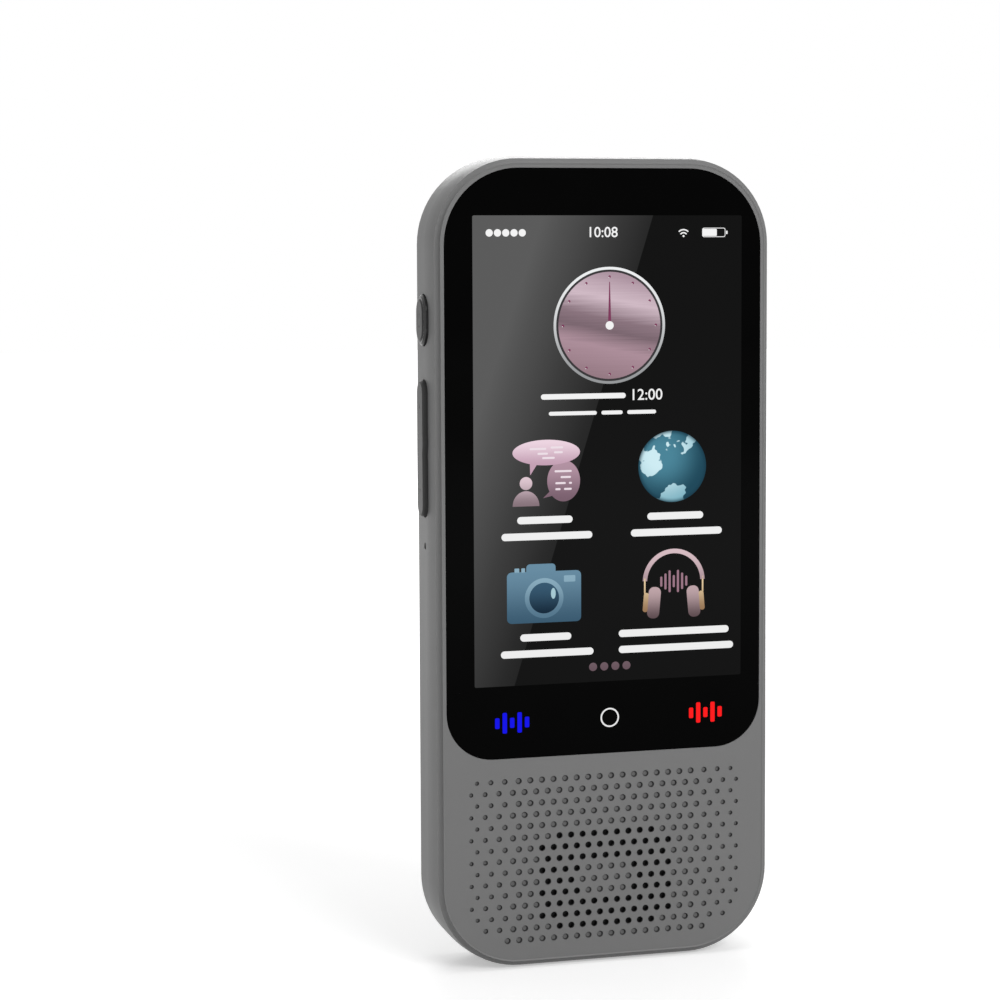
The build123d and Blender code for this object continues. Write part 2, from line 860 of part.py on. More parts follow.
save(speaker_cone, "speaker_cone")

# --- Charging board -------------------------------------------------------------------
with BuildPart() as usb_board:
    with BuildSketch(level(y_usb_board)):
        with Locations((0, usb_board_bottom + usb_board_height / 2)):
            RectangleRounded(usb_board_width, usb_board_height, board_corner)
    extrude(amount=-board_thickness)
    post(foot_screws, bore, y_usb_board, y_usb_board_back, Mode.SUBTRACT)

save(usb_board, "usb_board")

with BuildPart() as usb_socket:
    usb_end = usb_setback + usb_length - usb_floor
    with BuildSketch(Plane.XY.offset(usb_setback)) as shell:
        with Locations((0, usb_y)):
            SlotOverall(usb_width, usb_thickness)
    extrude(shell.sketch, amount=usb_length)
    with BuildSketch(Plane.XY.offset(usb_setback)) as hollow:
        with Locations((0, usb_y)):
            SlotOverall(usb_width - 2 * usb_shell, usb_thickness - 2 * usb_shell)
    extrude(hollow.sketch, amount=usb_length - usb_floor, mode=Mode.SUBTRACT)
    with BuildSketch(Plane.XY.offset(usb_end)) as tongue:
        with Locations((0, usb_y)):
            Rectangle(usb_tongue_width, usb_tongue_thickness)
    extrude(tongue.sketch, amount=-usb_tongue_length)

save(usb_socket, "usb_socket")

# --- Key boards, switches and microphones ---------------------------------------------
for side, z_low, z_high in key_boards:
    with BuildPart() as key_board:
        with BuildSketch(flank(side * x_key_rib)):
            with Locations((y_key, (z_low + z_high) / 2)):
                Rectangle(key_board_width, z_high - z_low)
        extrude(amount=side * key_board_thickness)
    save(key_board, f"{side_names[side]}_key_board")

x_button = x_switch - switch_button_height
for side, places in ((-1, left_switch_z), (1, right_switch_z)):
    with BuildPart() as switches:
        for z in places:
            side_slab(square_outline(z, switch_width, switch_width), side, x_key_board, x_button)
            side_slab(round_outline(z, switch_button_diameter), side, x_button, x_switch)
    save(switches, f"{side_names[side]}_switches")

with BuildPart() as microphones:
    for side, z in mic_holes:
        side_slab(square_outline(z, mic_width, mic_length), side, x_key_board, x_switch)

save(microphones, "microphones")

with BuildPart() as microphone_boots:
    for side, z in mic_holes:
        boot_end = x_wall - slip
        side_slab(round_outline(z, boot_diameter), side, x_switch, boot_end)
        side_slab(round_outline(z, mic_hole_diameter), side, x_switch, boot_end, Mode.SUBTRACT)

save(microphone_boots, "microphone_boots")


# --- Keys -----------------------------------------------------------------------------
def outer_edges(piece, side):
    """The edges of the face that looks outwards on a side of the body."""
    return piece.faces().sort_by(Axis.X)[-1 if side > 0 else 0].edges()


def build_key(name, side, z, length, width):
    """A push key: a cap with its plunger, in a rim that carries the flange."""
    x_rim_top = x_key_top - key_rim_drop
    inner = -key_rim_width
    with BuildPart() as rim:
        side_slab(key_outline(length, width, z), side, x_flange_back, x_rim_top)
        chamfer(outer_edges(rim, side), key_rim_bevel)
        side_slab(key_outline(length, width, z, key_flange), side, x_flange_back, x_flange)
        hollow = key_outline(length, width, z, inner)
        side_slab(hollow, side, x_flange_back, x_rim_top, mode=Mode.SUBTRACT)
    save(rim, f"{name}_rim")
    with BuildPart() as cap:
        side_slab(key_outline(length, width, z, inner - slip), side, x_flange_back, x_key_top)
        fillet(outer_edges(cap, side), key_rounding)
        side_slab(round_outline(z, plunger_diameter), side, x_plunger, x_flange_back)
    save(cap, name)


for key in keys:
    build_key(*key)

# The volume rocker tilts about a ridge on its back.
with BuildPart() as volume_rocker:
    side_slab(rocker_outline(), -1, x_rocker_back, x_key_top)
    fillet(outer_edges(volume_rocker, -1), rocker_rounding)
    side_slab(rocker_outline(rocker_flange), -1, x_rocker_back, x_rocker_flange)
    for z in (rocker_z - rocker_reach, rocker_z + rocker_reach):
        side_slab(round_outline(z, plunger_diameter), -1, x_rocker_plunger, x_rocker_back)
    with BuildSketch(level(y_key)) as ridge:
        with BuildLine():
            foot = Polyline(
                (-x_rocker_pivot, rocker_z + ridge_radius),
                (-x_rocker_back, rocker_z + ridge_radius + ridge_slope),
                (-x_rocker_back, rocker_z - ridge_radius - ridge_slope),
                (-x_rocker_pivot, rocker_z - ridge_radius),
            )
            ThreePointArc(foot @ 1, (ridge_radius - x_rocker_pivot, rocker_z), foot @ 0)
        make_face()
    extrude(ridge.sketch, amount=ridge_width / 2, both=True)

save(volume_rocker, "volume_rocker")

# --- Back cover -----------------------------------------------------------------------
cover_lip_inset = wall + cover_lip_gap
cover_hollow_inset = cover_lip_inset + cover_lip_thickness
here = [(camera_x, camera_z)]

with BuildPart() as back_cover:
    slab(body_outline(cover_inset), y_cover, y_back)
    chamfer(back_cover.faces().sort_by(Axis.Y)[-1].edges(), cover_edge_chamfer)
    slab(body_outline(cover_lip_inset), y_cover_lip, y_cover)
    slab(body_outline(cover_hollow_inset), y_cover_lip, y_cover_inside, mode=Mode.SUBTRACT)
    with BuildSketch(Plane.XY.offset(body_height)):
        with Locations((nail_notch_x, y_wall_end)):
            Ellipse(nail_notch_width / 2, nail_notch_length / 2)
    extrude(amount=-nail_notch_depth, mode=Mode.SUBTRACT)
    post(here, ring_diameter + 2 * slip, y_ring_seat, y_back, Mode.SUBTRACT)
    hollow = ring_diameter - 2 * ring_seat_width
    post(here, hollow, y_cover_inside, y_ring_seat, Mode.SUBTRACT)
    for share in bead_heights:
        for x, z in both_sides(half_width - cover_lip_inset, share * body_height):
            with Locations((x, y_cover_lip + bead_lift, z)):
                Cylinder(bead_radius, bead_length)

save(back_cover, "back_cover")

# --- Camera trim ----------------------------------------------------------------------
camera_axis = Axis((camera_x, 0, camera_z), (0, 1, 0))
camera_section = Plane(origin=(camera_x, 0, camera_z), x_dir=(1, 0, 0), z_dir=(0, 0, 1))
ring_radius = ring_diameter / 2
bezel_radius = bezel_diameter / 2
bore_radius = bezel_bore / 2
bezel_low = y_cover_inside - slip
bezel_high = y_back - bezel_sink

with BuildPart() as camera_ring:
    with BuildSketch(camera_section):
        with BuildLine():
            Polyline(
                (bezel_radius + slip, y_ring_seat),
                (ring_radius, y_ring_seat),
                (ring_radius, y_back),
                (ring_radius - ring_border, y_back),
                (bezel_radius + slip, y_back - ring_dish),
                close=True,
            )
        make_face()
    revolve(axis=camera_axis)

save(camera_ring, "camera_ring")

with BuildPart() as camera_bezel:
    with BuildSketch(camera_section):
        with BuildLine():
            Polyline(
                (bore_radius - bezel_lip, bezel_low),
                (bezel_radius, bezel_low),
                (bezel_radius, bezel_high - bezel_edge),
                (bezel_radius - bezel_edge, bezel_high),
                (bore_radius + bezel_edge, bezel_high),
                (bore_radius, bezel_high - bezel_edge),
                (bore_radius, y_ring_seat),
                (bore_radius - bezel_lip, y_ring_seat),
                close=True,
            )
        make_face()
    revolve(axis=camera_axis)

save(camera_bezel, "camera_bezel")

with BuildPart() as camera_window:
    post(here, bezel_bore - 2 * slip, y_ring_seat, y_ring_seat + lens_thickness)
    fillet(camera_window.faces().sort_by(Axis.Y)[-1].edges(), lens_rounding)

save(camera_window, "camera_window")
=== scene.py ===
import logging
import math
from dataclasses import dataclass, field, replace
from enum import Enum
from typing import Callable, Protocol, Sequence, Union

import bpy
from mathutils import Matrix, Vector


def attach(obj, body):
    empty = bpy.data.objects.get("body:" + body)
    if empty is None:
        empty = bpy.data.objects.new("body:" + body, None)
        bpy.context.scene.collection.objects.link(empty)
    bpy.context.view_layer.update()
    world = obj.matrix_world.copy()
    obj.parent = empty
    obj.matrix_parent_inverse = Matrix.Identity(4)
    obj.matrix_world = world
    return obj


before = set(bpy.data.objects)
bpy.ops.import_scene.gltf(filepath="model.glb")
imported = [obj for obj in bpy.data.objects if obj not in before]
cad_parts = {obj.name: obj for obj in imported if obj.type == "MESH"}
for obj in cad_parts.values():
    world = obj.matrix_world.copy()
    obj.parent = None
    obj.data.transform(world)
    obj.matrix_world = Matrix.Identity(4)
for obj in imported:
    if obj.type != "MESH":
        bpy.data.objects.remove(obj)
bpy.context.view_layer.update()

log = logging.getLogger("translator")

Colour = tuple[float, float, float]
Triple = tuple[float, float, float]
Pair = tuple[float, float]
Term = Union["Signal", float]
Value = Union["Signal", float, Sequence[float]]

# Metres in a millimetre. The object's sizes are in millimetres, and the places and sizes of the
# lamps, the camera and the floor are in metres.
MM = 0.001
# Depth of the glass's front face, and the middle of the rear camera.
GLASS_FRONT = -6.78
LENS_X = -2.0
LENS_Z = 129.1
BLACK: Colour = (0.0, 0.0, 0.0)
WHITE: Colour = (1.0, 1.0, 1.0)


def srgb(red: int, green: int, blue: int) -> Colour:
    """A colour given by its 0 to 255 screen values, as linear light.

    Args:
        red: Red value.
        green: Green value.
        blue: Blue value.

    Returns:
        The three linear values.
    """
    def linear(value: int) -> float:
        """One channel in linear light."""
        v = value / 255
        return v / 12.92 if v <= 0.04045 else ((v + 0.055) / 1.055) ** 2.4
    return linear(red), linear(green), linear(blue)


def scaled(colour: Colour, factor: float) -> Colour:
    """A colour with all its light multiplied."""
    return tuple(channel * factor for channel in colour)


# --- Shader graphs --------------------------------------------------------------------
class Signal:
    """A shader socket that is used in plain arithmetic."""

    def __init__(self, graph: "Graph", socket: bpy.types.NodeSocket) -> None:
        """Wrap an output socket of a graph."""
        self.graph = graph
        self.socket = socket

    def _math(self, operation: str, *values: Term) -> "Signal":
        """Add one Math node."""
        return self.graph.node("ShaderNodeMath", {"operation": operation}, *values)

    def __add__(self, other: Term) -> "Signal":
        """Sum."""
        return self._math("ADD", self, other)

    __radd__ = __add__

    def __sub__(self, other: Term) -> "Signal":
        """Difference."""
        return self._math("SUBTRACT", self, other)

    def __rsub__(self, other: Term) -> "Signal":
        """Difference the other way round."""
        return self._math("SUBTRACT", other, self)

    def __mul__(self, other: Term) -> "Signal":
        """Product."""
        return self._math("MULTIPLY", self, other)

    __rmul__ = __mul__

    def __truediv__(self, other: Term) -> "Signal":
        """Quotient."""
        return self._math("DIVIDE", self, other)

    def __pow__(self, other: Term) -> "Signal":
        """Power."""
        return self._math("POWER", self, other)

    def __mod__(self, other: Term) -> "Signal":
        """Remainder that is never negative."""
        return self._math("FLOORED_MODULO", self, other)

    def __abs__(self) -> "Signal":
        """Size without sign."""
        return self._math("ABSOLUTE", self)

    def __neg__(self) -> "Signal":
        """Sign turned round."""
        return self._math("MULTIPLY", self, -1.0)

    def least(self, other: Term) -> "Signal":
        """The smaller of the two."""
        return self._math("MINIMUM", self, other)

    def most(self, other: Term) -> "Signal":
        """The larger of the two."""
        return self._math("MAXIMUM", self, other)

    def sine(self) -> "Signal":
        """Sine."""
        return self._math("SINE", self)

    def angle_to(self, other: "Signal") -> "Signal":
        """Angle of the point (other, self)."""
        return self._math("ARCTAN2", self, other)

    def far(self, other: "Signal") -> "Signal":
        """Distance of the point (self, other) from the origin."""
        return (self * self + other * other) ** 0.5

    def step(self, low: float, high: float) -> "Signal":
        """Smooth step from 0 at low to 1 at high, with high under low to fall instead."""
        settings = {"interpolation_type": "SMOOTHSTEP"}
        return self.graph.node("ShaderNodeMapRange", settings, self, low, high, 0.0, 1.0)


class Graph:
    """Builds the nodes of one material."""

    def __init__(self, name: str) -> None:
        """Start a material that has only its surface shader.

        Args:
            name: The material's name.
        """
        self.material = bpy.data.materials.new(name)
        self.material.use_nodes = True
        self.tree = self.material.node_tree
        self.tree.nodes.clear()
        self.output = self.tree.nodes.new("ShaderNodeOutputMaterial")
        self.shader = self.tree.nodes.new("ShaderNodeBsdfPrincipled")
        self.tree.links.new(self.shader.outputs["BSDF"], self.output.inputs["Surface"])

    def raw(self, kind: str, settings: dict | None, *values: Value,
            **named: Value) -> bpy.types.Node:
        """Add a node of any kind.

        Args:
            kind: The node's type.
            settings: Its settings, which are set first.
            values: What its first sockets get.
            named: What its sockets of these names get, with _ for a space.

        Returns:
            The node.
        """
        node = self.tree.nodes.new(kind)
        for key, value in (settings or {}).items():
            if key == "stops":
                self._stops(node, value)
            else:
                setattr(node, key, value)
        pairs = list(zip(node.inputs, values))
        pairs += [(node.inputs[key.replace("_", " ")], value) for key, value in named.items()]
        for socket, value in pairs:
            self.feed(socket, value)
        return node

    def feed(self, socket: bpy.types.NodeSocket, value: Value) -> None:
        """Give a socket a link or a value.

        Args:
            socket: The socket.
            value: A signal, a number, a vector or a colour.
        """
        if isinstance(value, Signal):
            self.tree.links.new(value.socket, socket)
        elif isinstance(value, (tuple, list)) and len(value) == 3 and socket.type == "RGBA":
            socket.default_value = (*value, 1.0)
        else:
            socket.default_value = value

    def _stops(self, node: bpy.types.Node, stops: Sequence[tuple[float, Colour]]) -> None:
        """Set the stops of a colour ramp.

        Args:
            node: The ramp.
            stops: Positions from 0 to 1, each with its colour.
        """
        elements = node.color_ramp.elements
        while len(elements) < len(stops):
            elements.new(1.0)
        for element, (position, colour) in zip(elements, stops):
            element.position = position
            element.color = (*colour, 1.0)

    def node(self, kind: str, settings: dict | None, *values: Value, out: int | str = 0,
             **named: Value) -> Signal:
        """Add a node as raw does, and wrap its first output or the one that out names."""
        return Signal(self, self.raw(kind, settings, *values, **named).outputs[out])

    def vector(self) -> Signal:
        """The object coordinates in millimetres."""
        place = self.node("ShaderNodeTexCoord", None, out="Object")
        return self.node("ShaderNodeVectorMath", {"operation": "SCALE"}, place, Scale=1 / MM)

    def axes(self, vector: Signal) -> tuple[Signal, ...]:
        """The x, y and z of a vector."""
        parts = self.raw("ShaderNodeSeparateXYZ", None, vector)
        return tuple(Signal(self, output) for output in parts.outputs)

    def noise(self, vector: Signal, size: float, detail: float = 2.0,
              rough: float = 0.5) -> Signal:
        """Even noise from 0 to 1 with cells of a size in millimetres."""
        return self.node("ShaderNodeTexNoise", None, Vector=vector, Scale=1 / size,
                         Detail=detail, Roughness=rough)

    def mix(self, factor: Term, low: "Signal | Colour", high: "Signal | Colour") -> Signal:
        """Blend from one colour, where the factor is 0, to another, where it is 1."""
        node = self.raw("ShaderNodeMix", {"data_type": "RGBA"}, Factor=factor, A=low, B=high)
        return Signal(self, next(o for o in node.outputs if o.type == "RGBA"))

    def bump(self, height: Signal, strength: float, distance: float) -> None:
        """Drive the surface's normal by a height.

        Args:
            height: The height, from 0 to 1.
            strength: Strength of the relief.
            distance: How high 1 stands, in millimetres.
        """
        normal = self.node("ShaderNodeBump", None, Strength=strength, Distance=distance * MM,
                           Height=height)
        self.feed(self.shader.inputs["Normal"], normal)

    def surface(self, **named: Value) -> None:
        """Feed the surface shader's sockets, with _ for a space."""
        for key, value in named.items():
            self.feed(self.shader.inputs[key.replace("_", " ")], value)

    def seen(self) -> Signal:
        """1 for rays from the eye, also by way of a mirror or through glass, and else 0.

        Returns:
            The mask.
        """
        path = self.raw("ShaderNodeLightPath", None)
        camera, glossy, through = (Signal(self, path.outputs[f"Is {kind} Ray"])
                                   for kind in ("Camera", "Glossy", "Transmission"))
        return camera.most(glossy).most(through)

    def shine(self, colour: Signal, roughness: float = 0.2) -> None:
        """Let the surface give its own light, over black that hardly reflects."""
        self.surface(Base_Color=BLACK, Emission_Color=colour, Emission_Strength=1.0,
                     Roughness=roughness, Specular_IOR_Level=0.02)


class WorldGraph(Graph):
    """Builds the nodes of the surroundings."""

    def __init__(self, name: str) -> None:
        """Start surroundings that have only their background shader.

        Args:
            name: The name of the surroundings.
        """
        self.world = bpy.data.worlds.new(name)
        self.world.use_nodes = True
        self.tree = self.world.node_tree
        self.shader = self.tree.nodes["Background"]


# --- Finishes -------------------------------------------------------------------------
class Finish(Protocol):
    """Anything that can make a material."""

    def build(self) -> bpy.types.Material:
        """Make the material."""


@dataclass(frozen=True)
class Satin:
    """Satin paint on moulded plastic: a fine even grain and a soft sheen."""

    name: str
    colour: Colour
    roughness: float = 0.42
    grain: float = 0.16
    relief: float = 0.12
    tone: float = 0.035
    level: float = 0.16
    cloud: float = 18.0
    cloud_sheen: float = 0.06
    grain_sheen: float = 0.05
    grain_depth: float = 0.02

    def printed(self, graph: Graph, vector: Signal, paint: Signal) -> Signal:
        """The paint with what lies over it, which is nothing on a plain surface."""
        return paint

    def build(self) -> bpy.types.Material:
        """Make the material.

        Returns:
            The finished material.
        """
        graph = Graph(self.name)
        vector = graph.vector()
        cloud = graph.noise(vector, self.cloud, detail=3.0)
        grain = graph.noise(vector, self.grain, detail=1.0)
        dark, light = scaled(self.colour, 1 - self.tone), scaled(self.colour, 1 + self.tone)
        paint = graph.mix(cloud * 0.5 + grain * 0.5, dark, light)
        sheen = cloud * self.cloud_sheen + grain * self.grain_sheen
        graph.surface(
            Base_Color=self.printed(graph, vector, paint),
            Roughness=sheen + (self.roughness - (self.cloud_sheen + self.grain_sheen) / 2),
            Specular_IOR_Level=self.level,
        )
        graph.bump(grain, self.relief, self.grain_depth)
        return graph.material


@dataclass(frozen=True)
class Gloss:
    """Smooth glossy plastic or glass, with the faint waviness and dulling of handling."""

    name: str
    colour: Colour
    roughness: float = 0.08
    level: float = 0.5
    smudge: float = 0.03
    cloud: float = 9.0
    haze: float = 0.0006
    haze_gain: float = 1.15

    def build(self) -> bpy.types.Material:
        """Make the material.

        Returns:
            The finished material.
        """
        graph = Graph(self.name)
        cloud = graph.noise(graph.vector(), self.cloud, detail=4.0, rough=0.6)
        hazy = tuple(min(1.0, channel * self.haze_gain + self.haze) for channel in self.colour)
        graph.surface(
            Base_Color=graph.mix(cloud, self.colour, hazy),
            Roughness=cloud * self.smudge + self.roughness,
            Specular_IOR_Level=self.level,
        )
        return graph.material


@dataclass(frozen=True)
class Metal:
    """Bare metal with a fine grain and faint stains."""

    name: str
    colour: Colour
    roughness: float = 0.3
    relief: float = 0.08
    stain: float = 0.82
    cloud: float = 3.0
    grain: float = 0.12
    cloud_sheen: float = 0.12
    grain_sheen: float = 0.06
    polish: float = 0.08
    grain_depth: float = 0.02

    def build(self) -> bpy.types.Material:
        """Make the material.

        Returns:
            The finished material.
        """
        graph = Graph(self.name)
        vector = graph.vector()
        cloud = graph.noise(vector, self.cloud, detail=3.0)
        grain = graph.noise(vector, self.grain, detail=1.0)
        sheen = cloud * self.cloud_sheen + grain * self.grain_sheen
        graph.surface(
            Base_Color=graph.mix(cloud, scaled(self.colour, self.stain), self.colour),
            Roughness=sheen + (self.roughness - self.polish),
            Metallic=1.0,
        )
        graph.bump(grain, self.relief, self.grain_depth)
        return graph.material


@dataclass(frozen=True)
class Circuit:
    """A circuit board's lacquer over copper runs and pads."""

    name: str
    colour: Colour
    copper: Colour
    pad_pitch: float = 1.3
    pad_edge: Pair = (0.32, 0.28)
    run_pitch: float = 0.8
    run_slope: float = 0.5
    run_edge: Pair = (0.14, 0.1)
    area: float = 5.0
    area_edge: Pair = (0.5, 0.54)
    lacquer_roughness: float = 0.34
    copper_polish: float = 0.08

    def build(self) -> bpy.types.Material:
        """Make the material.

        Returns:
            The finished material.
        """
        graph = Graph(self.name)
        vector = graph.vector()
        x, _, z = graph.axes(vector)
        settings = {"distance": "CHEBYCHEV", "feature": "F1"}
        cells = graph.node("ShaderNodeTexVoronoi", settings, Vector=vector,
                           Scale=1 / self.pad_pitch)
        pads = cells.step(*self.pad_edge)
        across = (x + z * self.run_slope) % self.run_pitch
        runs = abs(across - self.run_pitch / 2).step(*self.run_edge)
        areas = graph.noise(vector, self.area, detail=1.0).step(*self.area_edge)
        copper = (runs * areas).most(pads * (1 - areas))
        graph.surface(
            Base_Color=graph.mix(copper, self.colour, self.copper),
            Roughness=self.lacquer_roughness - copper * self.copper_polish,
        )
        graph.bump(copper, strength=0.4, distance=0.03)
        return graph.material


@dataclass(frozen=True)
class Woven:
    """A fine dust mesh, with painted highlights on the crests of its weave."""

    name: str
    colour: Colour
    pitch: float = 0.25
    roughness: float = 0.7

    def build(self) -> bpy.types.Material:
        """Make the material.

        Returns:
            The finished material.
        """
        graph = Graph(self.name)
        x, _, z = graph.axes(graph.vector())
        turn = 2 * math.pi / self.pitch
        weave = (x * turn).sine() * (z * turn).sine() * 0.5 + 0.5
        # Painted highlight: the colour is twice as light on the crests of the weave.
        painted_crest_highlight = scaled(self.colour, 2.0)
        graph.surface(Base_Color=graph.mix(weave, self.colour, painted_crest_highlight), Roughness=self.roughness)
        graph.bump(weave, strength=0.5, distance=0.05)
        return graph.material


@dataclass(frozen=True)
class Turned:
    """Black metal turned on a lathe: fine rings, with painted highlights in opposite sectors."""

    name: str
    dark: Colour = srgb(5, 5, 6)
    painted_highlight: Colour = srgb(108, 108, 112)
    ring_rate: float = 60.0
    ring_depth: float = 0.12
    ring_polish: float = 0.08
    roughness: float = 0.42
    metallic: float = 0.6
    level: float = 0.1
    narrow_painted_highlight: float = 0.14

    def build(self) -> bpy.types.Material:
        """Make the material.

        Returns:
            The finished material.
        """
        graph = Graph(self.name)
        x, _, z = graph.axes(graph.vector())
        across, up = x - LENS_X, z - LENS_Z
        angle = up.angle_to(across)

        def sectors(count: float, phase: float, edge: float) -> Signal:
            """Painted highlight sectors about the middle, each with soft sides."""
            return (angle * count + phase).sine().step(edge, 1.0)
        rings = (across.far(up) * self.ring_rate).sine() * 0.5 + 0.5
        broad = sectors(count=2.0, phase=0.6, edge=0.55)
        narrow = sectors(count=6.0, phase=1.0, edge=0.5)
        # Painted highlight: the ring's colour is lightened in two broad and six narrow sectors,
        # where a turned ring catches light.
        sheen = broad + narrow * self.narrow_painted_highlight
        glow = sheen * (rings * self.ring_depth + (1 - self.ring_depth))
        graph.surface(
            Base_Color=graph.mix(glow, self.dark, self.painted_highlight),
            Roughness=self.roughness - rings * self.ring_polish,
            Metallic=self.metallic,
            Specular_IOR_Level=self.level,
        )
        graph.bump(rings, strength=0.15, distance=0.01)
        return graph.material


@dataclass(frozen=True)
class LensGlass:
    """Lens glass over the dark barrel, with painted reflections of its coated elements: violet in
    the middle, black outside, and a painted glint.
    """

    name: str
    radius: float = 2.05
    glint: Pair = (-0.35, 0.3)
    painted_glint_edge: Pair = (0.24, 0.08)
    painted_glint_colour: Colour = srgb(214, 212, 255)
    # Painted reflections of the coated lens elements, in rings about the lens's middle.
    rings: tuple[tuple[float, Colour], ...] = (
        (0.0, srgb(70, 62, 150)), (0.22, srgb(36, 30, 96)), (0.4, srgb(13, 11, 34)),
        (0.52, srgb(52, 50, 84)), (0.6, srgb(10, 10, 22)), (0.82, srgb(6, 6, 10)),
        (1.0, srgb(28, 28, 34)),
    )

    def build(self) -> bpy.types.Material:
        """Make the material.

        Returns:
            The finished material.
        """
        graph = Graph(self.name)
        x, _, z = graph.axes(graph.vector())
        across, up = x - LENS_X, z - LENS_Z
        stops = {"stops": self.rings}
        rings = graph.node("ShaderNodeValToRGB", stops, across.far(up) / self.radius)
        # Painted glint: a small pale spot up and to the left of the lens's middle.
        glint = (across - self.glint[0]).far(up - self.glint[1]).step(*self.painted_glint_edge)
        graph.surface(
            Base_Color=graph.mix(glint, rings, self.painted_glint_colour),
            Roughness=0.03,
            Specular_IOR_Level=0.12,
            Coat_Weight=0.1,
        )
        return graph.material


@dataclass(frozen=True)
class Glow:
    """A lit picture on the display: a colour that fades from its foot to its head."""

    name: str
    foot: Colour
    head: Colour
    low: float = 0.0
    high: float = 1.0
    speckle: float = 0.4
    speckle_depth: float = 0.04

    def build(self) -> bpy.types.Material:
        """Make the material.

        Returns:
            The finished material.
        """
        graph = Graph(self.name)
        vector = graph.vector()
        _, _, z = graph.axes(vector)
        grain = graph.noise(vector, self.speckle, detail=1.0)
        speckle = grain * self.speckle_depth - self.speckle_depth / 2
        graph.shine(graph.mix(z.step(self.low, self.high) + speckle, self.foot, self.head))
        return graph.material


# --- Drawing on surfaces --------------------------------------------------------------
def clear_selection() -> None:
    """Leave edit mode and deselect everything."""
    if bpy.context.object and bpy.context.object.mode != "OBJECT":
        bpy.ops.object.mode_set(mode="OBJECT")
    bpy.ops.object.select_all(action="DESELECT")


def select_only(piece: bpy.types.Object) -> None:
    """Select one piece alone and make it the active one.

    Args:
        piece: The piece.
    """
    clear_selection()
    piece.select_set(True)
    bpy.context.view_layer.objects.active = piece


def edit_all() -> None:
    """Enter edit mode with all of the active piece selected."""
    bpy.ops.object.mode_set(mode="EDIT")
    bpy.ops.mesh.select_all(action="SELECT")


def settle(piece: bpy.types.Object) -> None:
    """Put a piece's place into its mesh, so that its object stands at the origin."""
    select_only(piece)
    bpy.ops.object.transform_apply(location=True, rotation=True, scale=True)


def merge(pieces: Sequence[bpy.types.Object], name: str) -> bpy.types.Object:
    """Join several pieces into one named piece.

    Args:
        pieces: What to join.
        name: The name of the result.

    Returns:
        The joined piece.
    """
    clear_selection()
    for piece in pieces:
        piece.select_set(True)
    whole = pieces[0]
    bpy.context.view_layer.objects.active = whole
    if len(pieces) > 1:
        bpy.ops.object.join()
    whole.name = name
    whole.data.name = name
    settle(whole)
    return whole


